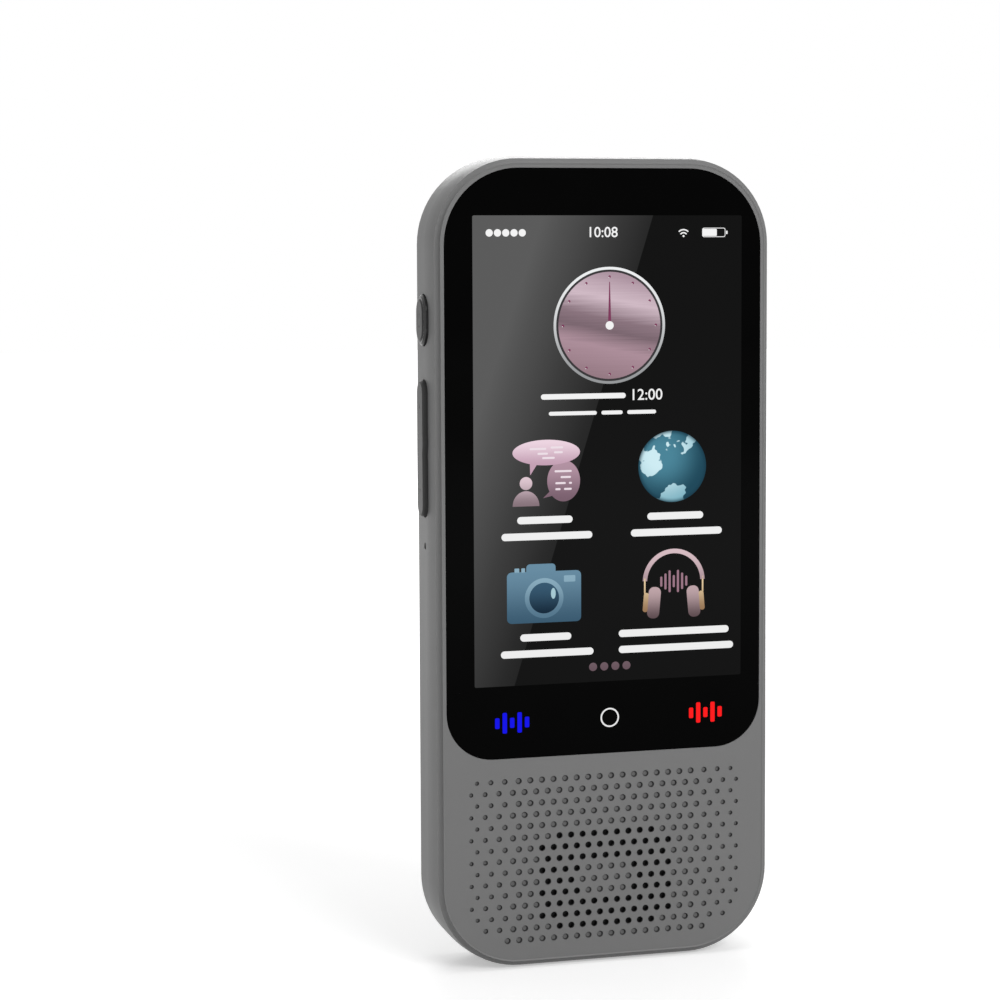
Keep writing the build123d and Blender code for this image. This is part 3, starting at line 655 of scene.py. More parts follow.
@dataclass(frozen=True)
class Surface:
    """A flat face to draw on, with its sizes in millimetres."""

    origin: Triple
    right: Triple
    up: Triple = (0.0, 0.0, 1.0)
    thickness: float = 0.012
    corner_segments: int = 6
    end_share: float = 0.499
    oval_sides: int = 56
    point_radius: float = 0.06
    point_segments: int = 3

    def matrix(self, u: float, v: float, lift: float, turn: float = 0.0) -> Matrix:
        """The place of a mark on the face, in metres.

        Args:
            u: Distance to the right.
            v: Distance up.
            lift: Height over the face.
            turn: Turn against the clock, in degrees.

        Returns:
            A matrix whose z axis points out of the face.
        """
        right, up = Vector(self.right), Vector(self.up)
        out = right.cross(up)
        spot = (Vector(self.origin) + right * u + up * v + out * lift) * MM
        basis = Matrix((right, up, out)).transposed().to_4x4()
        return Matrix.Translation(spot) @ basis @ Matrix.Rotation(math.radians(turn), 4, "Z")

    def _start(self, add: Callable[..., set], place: Matrix,
               **sizes: float | str) -> bpy.types.Object:
        """Add a primitive and enter edit mode with all of it selected.

        Args:
            add: The operator that adds it.
            place: Its place.
            sizes: The operator's other settings.

        Returns:
            The new object.
        """
        clear_selection()
        add(location=place.to_translation(), rotation=place.to_euler(), **sizes)
        edit_all()
        return bpy.context.object

    def _stretch(self, piece: bpy.types.Object, width: float, height: float) -> None:
        """Give the flat shape in edit mode its sizes.

        Args:
            piece: The object in edit mode.
            width: What its width is multiplied by.
            height: What its height is multiplied by.
        """
        bpy.ops.object.mode_set(mode="OBJECT")
        piece.scale = (width * MM, height * MM, 1.0)
        settle(piece)
        edit_all()

    def _soften(self, radius: float, segments: int) -> None:
        """Round the corners of the flat shape in edit mode."""
        bpy.ops.mesh.bevel(affect="VERTICES", offset=radius * MM, segments=segments,
                           clamp_overlap=True)

    def _raise(self, piece: bpy.types.Object) -> bpy.types.Object:
        """Give the flat shape in edit mode its thickness, and leave edit mode.

        Args:
            piece: The object in edit mode.

        Returns:
            The same object.
        """
        bpy.ops.mesh.select_all(action="SELECT")
        out = Vector(self.right).cross(Vector(self.up)) * self.thickness * MM
        bpy.ops.mesh.extrude_region_move(TRANSFORM_OT_translate={"value": tuple(out)})
        bpy.ops.mesh.select_all(action="SELECT")
        bpy.ops.mesh.normals_make_consistent(inside=False)
        bpy.ops.object.mode_set(mode="OBJECT")
        return piece

    def _circle(self, place: Matrix, radius: float, sides: int) -> bpy.types.Object:
        """Start a filled circle in edit mode, with its radius in metres."""
        return self._start(bpy.ops.mesh.primitive_circle_add, place, radius=radius,
                           vertices=sides, fill_type="NGON")

    def disc(self, u: float, v: float, radius: float, lift: float = 0.0,
             sides: int = 40) -> bpy.types.Object:
        """A round mark, with so many sides for its circle."""
        return self._raise(self._circle(self.matrix(u, v, lift), radius * MM, sides))

    def ring(self, u: float, v: float, radius: float, width: float, lift: float = 0.0,
             sides: int = 56) -> bpy.types.Object:
        """A ring.

        Args:
            u: Its middle's distance to the right.
            v: Its middle's distance up.
            radius: Its outer radius.
            width: Width of its band.
            lift: Its height over the face.
            sides: How many sides stand for the circle.

        Returns:
            The ring.
        """
        piece = self._circle(self.matrix(u, v, lift), radius * MM, sides)
        bpy.ops.mesh.inset(thickness=width * MM, depth=0.0)
        bpy.ops.mesh.delete(type="FACE")
        return self._raise(piece)

    def panel(self, u: float, v: float, width: float, height: float, corner: float,
              lift: float = 0.0, turn: float = 0.0) -> bpy.types.Object:
        """A rectangle with rounded corners.

        Args:
            u: Its middle's distance to the right.
            v: Its middle's distance up.
            width: Its width.
            height: Its height.
            corner: Radius of its corners.
            lift: Its height over the face.
            turn: Its turn against the clock, in degrees.

        Returns:
            The rectangle.
        """
        place = self.matrix(u, v, lift, turn)
        piece = self._start(bpy.ops.mesh.primitive_plane_add, place, size=1.0)
        self._stretch(piece, width, height)
        if corner > 0:
            self._soften(corner, self.corner_segments)
        return self._raise(piece)

    def bar(self, u: float, v: float, width: float, height: float,
            lift: float = 0.0) -> bpy.types.Object:
        """A bar with round ends."""
        return self.panel(u, v, width, height, self.end_share * min(width, height), lift)

    def oval(self, u: float, v: float, width: float, height: float,
             lift: float = 0.0) -> bpy.types.Object:
        """An ellipse.

        Args:
            u: Its middle's distance to the right.
            v: Its middle's distance up.
            width: Its width.
            height: Its height.
            lift: Its height over the face.

        Returns:
            The ellipse.
        """
        piece = self.disc(u, v, radius=0.5, lift=lift, sides=self.oval_sides)
        place = self.matrix(u, v, lift=0.0)
        stretch = Matrix.Diagonal((width, height, 1.0, 1.0))
        piece.matrix_world = place @ stretch @ place.inverted() @ piece.matrix_world
        settle(piece)
        return piece

    def wedge(self, u: float, v: float, width: float, length: float, lift: float = 0.0,
              turn: float = 0.0) -> bpy.types.Object:
        """A triangle with softened corners.

        Args:
            u: Its middle's distance to the right.
            v: Its middle's distance up.
            width: Width of its foot.
            length: Length from its foot to its point.
            lift: Its height over the face.
            turn: Its turn against the clock, in degrees, from the point being up.

        Returns:
            The triangle.
        """
        # A triangle in a circle of radius 1 is the root of 3 wide and 1.5 long.
        piece = self._circle(self.matrix(u, v, lift, turn), radius=1.0, sides=3)
        self._stretch(piece, width / math.sqrt(3.0), length / 1.5)
        self._soften(self.point_radius, self.point_segments)
        return self._raise(piece)

    def cut(self, piece: bpy.types.Object, u: float, v: float, turn: float) -> bpy.types.Object:
        """Cut away what lies above a line through a point of the face.

        Args:
            piece: The piece that is cut.
            u: The point's distance to the right.
            v: The point's distance up.
            turn: Turn of the line against the clock, in degrees.

        Returns:
            The same piece.
        """
        settle(piece)
        place = self.matrix(u, v, 0.0, turn)
        normal = place.to_3x3() @ Vector((0.0, 1.0, 0.0))
        edit_all()
        bpy.ops.mesh.bisect(plane_co=place.to_translation(), plane_no=normal, use_fill=True,
                            clear_outer=True)
        bpy.ops.object.mode_set(mode="OBJECT")
        return piece

    def arc(self, u: float, v: float, radius: float, width: float, span: Pair,
            lift: float = 0.0) -> bpy.types.Object:
        """A piece of a ring, of up to a half turn.

        Args:
            u: The ring's middle, to the right.
            v: The ring's middle, up.
            radius: Outer radius.
            width: Width of the band.
            span: Where it starts and ends, in degrees against the clock from the right.
            lift: Its height over the face.

        Returns:
            The arc.
        """
        piece = self.ring(u, v, radius, width, lift)
        self.cut(piece, u, v, span[0] + 180.0)
        return self.cut(piece, u, v, span[1])

    def copies(self, piece: bpy.types.Object,
               shifts: Sequence[Pair]) -> list[bpy.types.Object]:
        """Copy a piece along the face, each copy with its own mesh.

        Args:
            piece: The piece.
            shifts: How far to its right and above it each copy stands.

        Returns:
            The piece and its copies.
        """
        right, up = Vector(self.right), Vector(self.up)
        whole = [piece]
        for u, v in shifts:
            select_only(piece)
            bpy.ops.object.duplicate(linked=False)
            bpy.ops.transform.translate(value=tuple((right * u + up * v) * MM))
            whole.append(bpy.context.object)
        return whole


# --- The studio -----------------------------------------------------------------------
@dataclass(frozen=True)
class Softbox:
    """A square lamp that faces a point."""

    name: str
    place: Triple
    target: Triple
    size: float
    power: float

    def build(self) -> None:
        """Add the lamp."""
        data = bpy.data.lights.new(self.name, "AREA")
        data.shape = "SQUARE"
        data.size = self.size
        data.energy = self.power
        lamp = bpy.data.objects.new(self.name, data)
        bpy.context.scene.collection.objects.link(lamp)
        lamp.location = self.place
        aim = Vector(self.target) - Vector(self.place)
        lamp.rotation_euler = aim.to_track_quat("-Z", "Y").to_euler()


@dataclass
class Studio:
    """Plain white surroundings, soft lamps and the camera."""

    lens: float = 89.46
    sensor: float = 36.0
    shift: float = -0.06
    clip: Pair = (0.01, 20.0)
    spot: Triple = (-0.13876, -0.44269, 0.13218)
    yaw: float = -0.2658
    pitch: float = -0.0746
    roll: float = -0.0045
    ambient: float = 0.26
    floor_reach: float = 3.0
    floor_drop: float = 0.0001
    floor_sides: int = 96
    paper: Colour = (0.86, 0.86, 0.86)
    paper_light: float = 0.42
    distance_light: float = 0.6
    distance: Pair = (180.0, 600.0)
    lamps: tuple[Softbox, ...] = (
        Softbox("key_lamp", (0.35, -0.85, 0.65), (0.0, 0.0, 0.07), 0.6, 5.6),
        Softbox("side_lamp", (-0.85, -0.3, 0.35), (0.0, 0.0, 0.07), 0.6, 0.05),
        Softbox("back_lamp", (0.25, 0.85, 0.6), (0.0, 0.0, 0.08), 0.6, 3.8),
        Softbox("top_lamp", (0.0, -0.05, 1.0), (0.0, 0.0, 0.08), 0.6, 2.2),
    )

    def build_camera(self) -> None:
        """Set up the camera, level but for a slight downward look."""
        data = bpy.data.cameras.new("camera")
        data.sensor_width = self.sensor
        data.lens = self.lens
        data.shift_y = self.shift
        data.clip_start, data.clip_end = self.clip
        camera = bpy.data.objects.new("camera", data)
        bpy.context.scene.collection.objects.link(camera)
        ahead = Vector((-math.sin(self.yaw) * math.cos(self.pitch),
                        math.cos(self.yaw) * math.cos(self.pitch), math.sin(self.pitch)))
        right = Vector((math.cos(self.yaw), math.sin(self.yaw), 0.0))
        basis = Matrix((right, right.cross(ahead), -ahead)).transposed().to_4x4()
        turn = Matrix.Rotation(self.roll, 4, "Z")
        camera.matrix_world = Matrix.Translation(self.spot) @ basis @ turn
        bpy.context.scene.camera = camera

    def build_world(self) -> None:
        """Make the surroundings white to the eye and in reflections, and softer as light."""
        graph = WorldGraph("surroundings")
        level = graph.node("ShaderNodeMapRange", None, graph.seen(), To_Min=self.ambient,
                           To_Max=1.0)
        graph.surface(Color=WHITE, Strength=level)
        bpy.context.scene.world = graph.world

    def build_floor(self) -> None:
        """A plain white floor that keeps the object's soft shadow."""
        clear_selection()
        bpy.ops.mesh.primitive_circle_add(radius=self.floor_reach, vertices=self.floor_sides,
                                          fill_type="NGON",
                                          location=(0.0, 0.0, -self.floor_drop))
        floor = bpy.context.object
        floor.name = "floor"
        settle(floor)
        graph = Graph("floor_paper")
        x, y, _ = graph.axes(graph.vector())
        light = x.far(y).step(*self.distance) * self.distance_light + self.paper_light
        diffuse = graph.node("ShaderNodeBsdfDiffuse", None, Color=self.paper)
        glow = graph.node("ShaderNodeEmission", None, Color=WHITE,
                          Strength=graph.seen() * light)
        both = graph.node("ShaderNodeAddShader", None, diffuse, glow)
        graph.feed(graph.output.inputs["Surface"], both)
        graph.tree.nodes.remove(graph.shader)
        floor.data.materials.append(graph.material)

    def build(self) -> None:
        """Add everything round the object."""
        self.build_camera()
        self.build_world()
        self.build_floor()
        for lamp in self.lamps:
            lamp.build()
        bpy.context.scene.view_settings.view_transform = "Standard"


# --- Printed marks --------------------------------------------------------------------
@dataclass
class Print:
    """Marks printed on a surface, as masks of two coordinates in millimetres."""

    u: Signal
    v: Signal
    soft: float = 0.05

    def mask(self, distance: Signal) -> Signal:
        """1 inside the shape whose edge is at distance 0."""
        return distance.step(self.soft, -self.soft)

    def bar(self, width: float, height: float, u: float = 0.0, v: float = 0.0) -> Signal:
        """An upright rectangle about a point."""
        return self.mask((abs(self.u - u) - width / 2).most(abs(self.v - v) - height / 2))

    def ring(self, radius: float, line: float, u: float = 0.0, v: float = 0.0) -> Signal:
        """A ring about a point, drawn on its middle radius."""
        return self.mask(abs((self.u - u).far(self.v - v) - radius) - line / 2)

    def frame(self, width: float, height: float, line: float) -> Signal:
        """The outline of a rectangle."""
        return self.bar(width + line, height + line) - self.bar(width - line, height - line)

    @staticmethod
    def union(masks: Sequence[Signal]) -> Signal:
        """What any of the masks covers.

        Args:
            masks: The masks.

        Returns:
            Their union.
        """
        whole = masks[0]
        for mask in masks[1:]:
            whole = whole.most(mask)
        return whole


@dataclass
class KeySigns(Print):
    """The signs on the key caps, each about the middle of its cap."""

    stroke: float = 0.42
    stroke_pitch: float = 0.82
    stroke_lengths: tuple[float, ...] = (1.1, 2.0, 1.1, 2.0, 1.1)
    arrow_tip: float = 8.5
    arrow_length: float = 1.1
    arrow_slope: float = 0.6

    def power(self) -> Signal:
        """A ring with a stroke that stands in a gap at its top.

        Returns:
            The mask.
        """
        gap = self.bar(width=0.9, height=1.6, v=1.2)
        ring = self.ring(radius=1.25, line=0.3) * (1 - gap)
        return self.union([ring, self.bar(width=0.3, height=1.5, v=1.1)])

    def photo(self) -> Signal:
        """A small camera that lies on its side.

        Returns:
            The mask.
        """
        return self.union([self.frame(width=2.2, height=3.4, line=0.22),
                           self.ring(radius=0.8, line=0.22),
                           self.bar(width=0.5, height=1.1, u=1.35)])

    def wave(self) -> Signal:
        """The strokes of a sound wave.

        Returns:
            The mask.
        """
        middle = len(self.stroke_lengths) // 2
        return self.union([self.bar(length, self.stroke, v=(n - middle) * self.stroke_pitch)
                           for n, length in enumerate(self.stroke_lengths)])

    def arrows(self) -> Signal:
        """A pointed end at either end of the cap.

        Returns:
            The mask.
        """
        ends = []
        for side in (-1, 1):
            reach = (side * self.arrow_tip - self.v) * side
            flanks = abs(self.u) - reach * self.arrow_slope
            ends.append(self.mask(flanks.most(-reach).most(reach - self.arrow_length)))
        return self.union(ends)


class Mark(Enum):
    """What is printed on a key."""

    POWER = "power"
    PHOTO = "photo"
    WAVE = "wave"
    ARROWS = "arrows"


@dataclass(frozen=True)
class KeyPaint(Satin):
    """Satin paint of a key cap with its printed mark."""

    mark: Mark = Mark.POWER
    ink: Colour = BLACK
    key_y: float = 0.5
    key_z: float = 0.0

    def printed(self, graph: Graph, vector: Signal, paint: Signal) -> Signal:
        """The paint with the key's mark in ink over it.

        Args:
            graph: The material's graph.
            vector: The object coordinates.
            paint: The plain paint's colour.

        Returns:
            The colour.
        """
        _, y, z = graph.axes(vector)
        signs = KeySigns(y - self.key_y, z - self.key_z)
        draw = {Mark.POWER: signs.power, Mark.PHOTO: signs.photo, Mark.WAVE: signs.wave,
                Mark.ARROWS: signs.arrows}
        return graph.mix(draw[self.mark](), paint, self.ink)


@dataclass(frozen=True)
class GrillePaintWithShade(Satin):
    """Satin paint with painted shade: darker on the walls and floors of the grille's dimples, and
    darkest in its open holes.
    """

    dimple: float = 0.4
    plate_edge: Pair = (2.2, 2.1)
    top: float = 37.5
    corner: Pair = (16.5, 16.0)
    reach: float = 14.0
    wall_shade: float = 0.72
    floor_shade: float = 0.2
    hole_shade: float = 0.97
    shade: Colour = srgb(10, 10, 11)

    def printed(self, graph: Graph, vector: Signal, paint: Signal) -> Signal:
        """The paint, with painted shade that deepens with depth within the grille's outline.

        Args:
            graph: The material's graph.
            vector: The object coordinates.
            paint: The plain paint's colour.

        Returns:
            The colour.
        """
        x, y, z = graph.axes(vector)
        depth = y - GLASS_FRONT
        across = (abs(x) - self.corner[0]).most(0.0)
        down = (self.corner[1] - z).most(0.0)
        inside = (self.reach - across.far(down)).step(0.0, 0.3)
        below = (self.top - z).step(0.0, 0.4)
        area = inside * below * depth.step(*self.plate_edge)
        # Painted shade: the dimple walls, the dimple floors and the open holes are darkened where
        # shadow falls in the recesses.
        wall = depth.step(0.01, 0.05) * depth.step(self.dimple - 0.01, self.dimple - 0.04)
        deep = depth.step(self.dimple + 0.02, self.dimple + 0.06)
        floor = depth.step(0.3, self.dimple)
        shade = wall * self.wall_shade + deep * self.hole_shade + floor * self.floor_shade
        return graph.mix(shade.least(self.hole_shade) * area, paint, self.shade)


# --- Finishes of the display ----------------------------------------------------------
@dataclass(frozen=True)
class GlareBackdrop:
    """The display's backdrop: near black, with a painted glare, a paler corner behind a slanting
    edge.
    """

    name: str = "backdrop_painted_glare"
    top: float = 139.1
    edge_x: float = 9.3
    slant: float = 0.3116
    soft: float = 0.06
    level: float = 83.0
    level_x: float = -8.9
    fall: float = 2.42
    rise: float = 0.82
    brightest: float = 90.0
    night: Colour = srgb(17, 17, 17)

    def build(self) -> bpy.types.Material:
        """Make the material.

        Returns:
            The finished material.
        """
        graph = Graph(self.name)
        x, _, z = graph.axes(graph.vector())
        drop = z - self.top
        # Painted glare: the glow is paler towards the upper left, fading to the right and down, up
        # to a slanting edge.
        beyond = (x - self.edge_x - drop * self.slant).step(-self.soft, self.soft)
        level = self.level - (x - self.level_x) * self.fall + drop * self.rise
        stops = [(grey / 100, srgb(grey, grey, grey)) for grey in range(0, 101, 20)]
        pale = graph.node("ShaderNodeValToRGB", {"stops": stops},
                          level.least(self.brightest) / 100)
        graph.shine(graph.mix(beyond, pale, self.night), roughness=0.12)
        return graph.material


@dataclass(frozen=True)
class DialFace:
    """The clock's face: rose satin with a darker band over its middle."""

    name: str = "dial_face"
    middle_x: float = 0.9
    middle_z: float = 119.0
    reach: float = 9.6
    brush: Triple = (0.06, 1.0, 3.2)
    streak: float = 0.12
    lean: float = 0.011
    bands: tuple[tuple[float, Colour], ...] = (
        (0.0, srgb(150, 122, 132)), (0.28, srgb(172, 142, 154)), (0.45, srgb(122, 102, 111)),
        (0.56, srgb(138, 116, 126)), (0.76, srgb(208, 186, 197)), (1.0, srgb(172, 147, 160)),
    )

    def build(self) -> bpy.types.Material:
        """Make the material.

        Returns:
            The finished material.
        """
        graph = Graph(self.name)
        vector = graph.vector()
        x, _, z = graph.axes(vector)
        height = (z - self.middle_z + self.reach) / (2 * self.reach)
        drawn = graph.node("ShaderNodeVectorMath", {"operation": "MULTIPLY"}, vector, self.brush)
        brushed = graph.noise(drawn, size=1.0, detail=3.0)
        wave = height + (brushed - 0.5) * self.streak + (x - self.middle_x) * self.lean
        graph.shine(graph.node("ShaderNodeValToRGB", {"stops": self.bands}, wave))
        return graph.material


@dataclass(frozen=True)
class WorldFace:
    """The globe: teal sea shaded as a ball, with pale land of no real shape."""

    x: float
    z: float
    name: str = "globe_face"
    radius: float = 6.7
    light: Pair = (-2.0, 2.2)
    land: float = 4.6
    shore: Pair = (0.505, 0.525)
    sea_light: Pair = (0.2, 1.3)
    sea: tuple[Colour, Colour] = (srgb(74, 132, 152), srgb(30, 72, 90))
    ground_light: Pair = (0.3, 1.5)
    ground: tuple[Colour, Colour] = (srgb(206, 236, 243), srgb(122, 176, 192))
    rim_edge: Pair = (0.86, 1.04)
    rim: Colour = srgb(24, 58, 74)

    def build(self) -> bpy.types.Material:
        """Make the material.

        Returns:
            The finished material.
        """
        graph = Graph(self.name)
        vector = graph.vector()
        x, _, z = graph.axes(vector)

        def far(u: float, v: float) -> Signal:
            """Distance from a point about the globe's middle, in radii."""
            return (x - (self.x + u)).far(z - (self.z + v)) / self.radius
        light, edge = far(*self.light), far(0.0, 0.0).step(*self.rim_edge)
        land = graph.noise(vector, self.land, detail=3.0, rough=0.55).step(*self.shore)
        sea = graph.mix(light.step(*self.sea_light), *self.sea)
        ground = graph.mix(light.step(*self.ground_light), *self.ground)
        graph.shine(graph.mix(edge, graph.mix(land, sea, ground), self.rim))
        return graph.material


# --- Sub-assemblies -------------------------------------------------------------------
@dataclass
class SubAssembly:
    """Pieces that belong together, and the names of those that are finished."""

    pieces: list[str] = field(default_factory=list, init=False)

    def build(self) -> None:
        """Build and dress the pieces."""
        raise NotImplementedError


@dataclass(frozen=True)
class Patch:
    """A mark's middle, counted from its picture's middle, and its sizes."""

    u: float
    v: float
    width: float
    height: float
    corner: float = 0.0
    turn: float = 0.0

    def sided(self, side: int) -> "Patch":
        """The mark itself for 1, and its mirror image for -1."""
        return replace(self, u=side * self.u, turn=side * self.turn)


@dataclass
class Picture(SubAssembly):
    """One group of marks on the glass, drawn about a middle of its own."""

    face: Surface = Surface((0.0, GLASS_FRONT, 0.0), (1.0, 0.0, 0.0))
    x: float = 0.0
    z: float = 0.0
    layer: float = 0.014
    foot: float = 53.0
    head: float = 139.2
    white: Colour = srgb(244, 244, 244)
    dimming: float = 0.94
    figure_size: float = 1.38
    figure_weight: float = 0.02
    figure_steps: int = 4

    def finish(self, parts: Sequence[bpy.types.Object], name: str,
               material: bpy.types.Material) -> None:
        """Join the parts of one colour, dress them and let them ride on the body.

        Args:
            parts: What is joined.
            name: The name of the whole.
            material: Its material.
        """
        piece = merge(parts, name)
        piece.data.materials.clear()
        piece.data.materials.append(material)
        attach(piece, "body")
        self.pieces.append(name)

    def flat(self, name: str, colour: Colour) -> bpy.types.Material:
        """A glow that is almost even, a little dimmer at the display's foot."""
        dim = scaled(colour, self.dimming)
        return Glow(name, dim, colour, self.foot, self.head).build()

    def fade(self, name: str, foot: Colour, head: Colour, low: float,
             high: float) -> bpy.types.Material:
        """A glow that changes between two heights about the picture's middle."""
        return Glow(name, foot, head, self.z + low, self.z + high).build()

    def lettering(self) -> bpy.types.Material:
        """The white of labels and signs, which is made once."""
        return bpy.data.materials.get("screen_white") or self.flat("screen_white", self.white)

    def disc(self, u: float, v: float, radius: float, layers: float = 1.0,
             sides: int = 40) -> bpy.types.Object:
        """A round mark of the picture, so many layers high."""
        return self.face.disc(self.x + u, self.z + v, radius, layers * self.layer, sides)

    def ring(self, u: float, v: float, radius: float, width: float, layers: float = 1.0,
             sides: int = 96) -> bpy.types.Object:
        """A ring of the picture, so many layers high."""
        return self.face.ring(self.x + u, self.z + v, radius, width, layers * self.layer, sides)

    def panel(self, patch: Patch, layers: float = 1.0) -> bpy.types.Object:
        """A rectangle of the picture, so many layers high."""
        return self.face.panel(self.x + patch.u, self.z + patch.v, patch.width, patch.height,
                               patch.corner, layers * self.layer, patch.turn)

    def bar(self, patch: Patch, layers: float = 1.0) -> bpy.types.Object:
        """A bar of the picture, so many layers high."""
        return self.face.bar(self.x + patch.u, self.z + patch.v, patch.width, patch.height,
                             layers * self.layer)

    def oval(self, patch: Patch, layers: float = 1.0) -> bpy.types.Object:
        """An ellipse of the picture, so many layers high."""
        return self.face.oval(self.x + patch.u, self.z + patch.v, patch.width, patch.height,
                              layers * self.layer)

    def wedge(self, patch: Patch, layers: float = 1.0) -> bpy.types.Object:
        """A triangle of the picture, so many layers high."""
        return self.face.wedge(self.x + patch.u, self.z + patch.v, patch.width, patch.height,
                               layers * self.layer, patch.turn)

    def arc(self, u: float, v: float, radius: float, width: float,
            span: Pair) -> bpy.types.Object:
        """A piece of a ring of the picture, one layer high."""
        return self.face.arc(self.x + u, self.z + v, radius, width, span, self.layer)

    def figures(self, text: str, u: float, v: float, height: float) -> bpy.types.Object:
        """Plain numbers about a point.

        Args:
            text: The numbers.
            u: The point's distance to the right.
            v: The point's distance up.
            height: Height of a figure.

        Returns:
            The numbers as a mesh.
        """
        clear_selection()
        place = self.face.matrix(self.x + u, self.z + v, self.layer)
        bpy.ops.object.text_add(location=place.to_translation(), rotation=place.to_euler())
        words = bpy.context.object.data
        words.body = text
        words.size = height * self.figure_size * MM
        words.align_x = "CENTER"
        words.align_y = "CENTER"
        words.resolution_u = self.figure_steps
        words.extrude = self.face.thickness * MM / 2
        words.offset = self.figure_weight * MM
        bpy.ops.object.convert(target="MESH")
        piece = bpy.context.object
        settle(piece)
        return piece


# --- The display ----------------------------------------------------------------------
@dataclass
class Backdrop(Picture):
    """The lit area of the panel."""

    left: float = -25.1
    right: float = 26.7
    corner: float = 0.3

    def build(self) -> None:
        """Draw the area."""
        area = Patch((self.left + self.right) / 2, (self.foot + self.head) / 2,
                     self.right - self.left, self.head - self.foot, self.corner)
        self.finish([self.panel(area, layers=0)], "screen_backdrop", GlareBackdrop().build())


@dataclass
class StatusBar(Picture):
    """Signal dots, the time, wireless arcs and the battery."""

    z: float = 136.05
    time: str = "10:08"
    time_x: float = -0.45
    time_height: float = 1.95
    dots: int = 5
    dot_x: float = -21.95
    dot_pitch: float = 1.555
    dot_radius: float = 0.68
    source: Pair = (15.26, -0.66)
    source_radius: float = 0.2
    arc_centre: Pair = (15.26, -0.78)
    arc_radii: Pair = (0.86, 1.42)
    arc_line: float = 0.24
    arc_span: Pair = (43.0, 137.0)
    battery: Patch = Patch(21.2, 0.0, 4.55, 1.72, 0.36)
    hollow: Patch = Patch(21.2, 0.0, 4.31, 1.48, 0.28)
    charge: Patch = Patch(20.4, 0.0, 2.75, 1.32, 0.2)
    nub: Patch = Patch(23.75, 0.0, 0.3, 0.62, 0.1)

    def build(self) -> None:
        """Draw the bar."""
        first = self.disc(self.dot_x, 0.0, self.dot_radius, sides=24)
        shifts = [(self.dot_pitch * n, 0.0) for n in range(1, self.dots)]
        parts = self.face.copies(first, shifts)
        parts.append(self.figures(self.time, self.time_x, 0.0, self.time_height))
        parts.append(self.disc(*self.source, self.source_radius, sides=16))
        parts += [self.arc(*self.arc_centre, radius, self.arc_line, self.arc_span)
                  for radius in self.arc_radii]
        parts += [self.panel(self.battery), self.panel(self.charge, layers=3),
                  self.panel(self.nub)]
        self.finish(parts, "status_marks", self.lettering())
        self.finish([self.panel(self.hollow, layers=2)], "battery_hollow",
                    self.flat("battery_dark", srgb(20, 20, 20)))


@dataclass
class Clock(Picture):
    """The clock: a pale rim, a dark groove, the rose face, its dots and the hand."""

    x: float = 0.9
    z: float = 119.05
    radius: float = 10.75
    rim: float = 0.5
    groove: float = 0.42
    face_inset: float = 0.9
    hours: int = 12
    dot_ring: float = 8.95
    dot_radius: float = 0.24
    light_shift: Pair = (-0.12, -0.14)
    light_radius: float = 0.08
    hand: Patch = Patch(0.0, 3.9, 0.62, 8.2, 0.1)
    tip_rise: float = 8.0
    tip_reach: float = 1.0
    tip_width: float = 0.25
    hub_radius: float = 0.78

    def build_plate(self) -> None:
        """Draw the rim, the groove and the face."""
        r = self.radius
        steel = self.fade("clock_steel", srgb(150, 152, 154), srgb(238, 240, 241), -r, r)
        self.finish([self.ring(0.0, 0.0, r, self.rim)], "clock_rim", steel)
        self.finish([self.ring(0.0, 0.0, r - self.rim, self.groove)], "clock_groove",
                    self.flat("clock_dark", srgb(58, 56, 58)))
        face = self.disc(0.0, 0.0, r - self.face_inset, sides=96)
        self.finish([face], "clock_face", DialFace().build())

    def build_hand(self) -> None:
        """Draw the dots with their lights, the hand and its hub."""
        u, v = self.light_shift
        dot = self.disc(0.0, self.dot_ring, self.dot_radius, layers=2, sides=16)
        light = self.disc(u, self.dot_ring + v, self.light_radius, layers=3, sides=12)
        angles = [2 * math.pi * hour / self.hours for hour in range(1, self.hours)]
        shifts = [(self.dot_ring * math.sin(angle), self.dot_ring * (math.cos(angle) - 1))
                  for angle in angles]
        dots, lights = self.face.copies(dot, shifts), self.face.copies(light, shifts)
        hand = self.panel(self.hand, layers=2)
        self.taper(hand)
        self.finish(dots + [hand], "clock_hand", self.flat("clock_plum", srgb(126, 58, 92)))
        hub = self.disc(0.0, 0.0, self.hub_radius, layers=3, sides=32)
        self.finish(lights + [hub], "clock_hub", self.lettering())

    def taper(self, hand: bpy.types.Object) -> None:
        """Draw the upper end of the hand together.

        Args:
            hand: The hand.
        """
        select_only(hand)
        bpy.ops.object.mode_set(mode="EDIT")
        bpy.ops.mesh.select_all(action="DESELECT")
        bpy.ops.object.mode_set(mode="OBJECT")
        tip = self.z + self.tip_rise
        for vertex in hand.data.vertices:
            vertex.select = vertex.co.z > (tip - self.tip_reach) * MM
        bpy.ops.object.mode_set(mode="EDIT")
        centre = (self.x * MM, self.face.origin[1] * MM, tip * MM)
        bpy.ops.transform.resize(value=(self.tip_width, 1.0, 1.0), center_override=centre)
        bpy.ops.object.mode_set(mode="OBJECT")

    def build(self) -> None:
        """Draw the clock."""
        self.build_plate()
        self.build_hand()


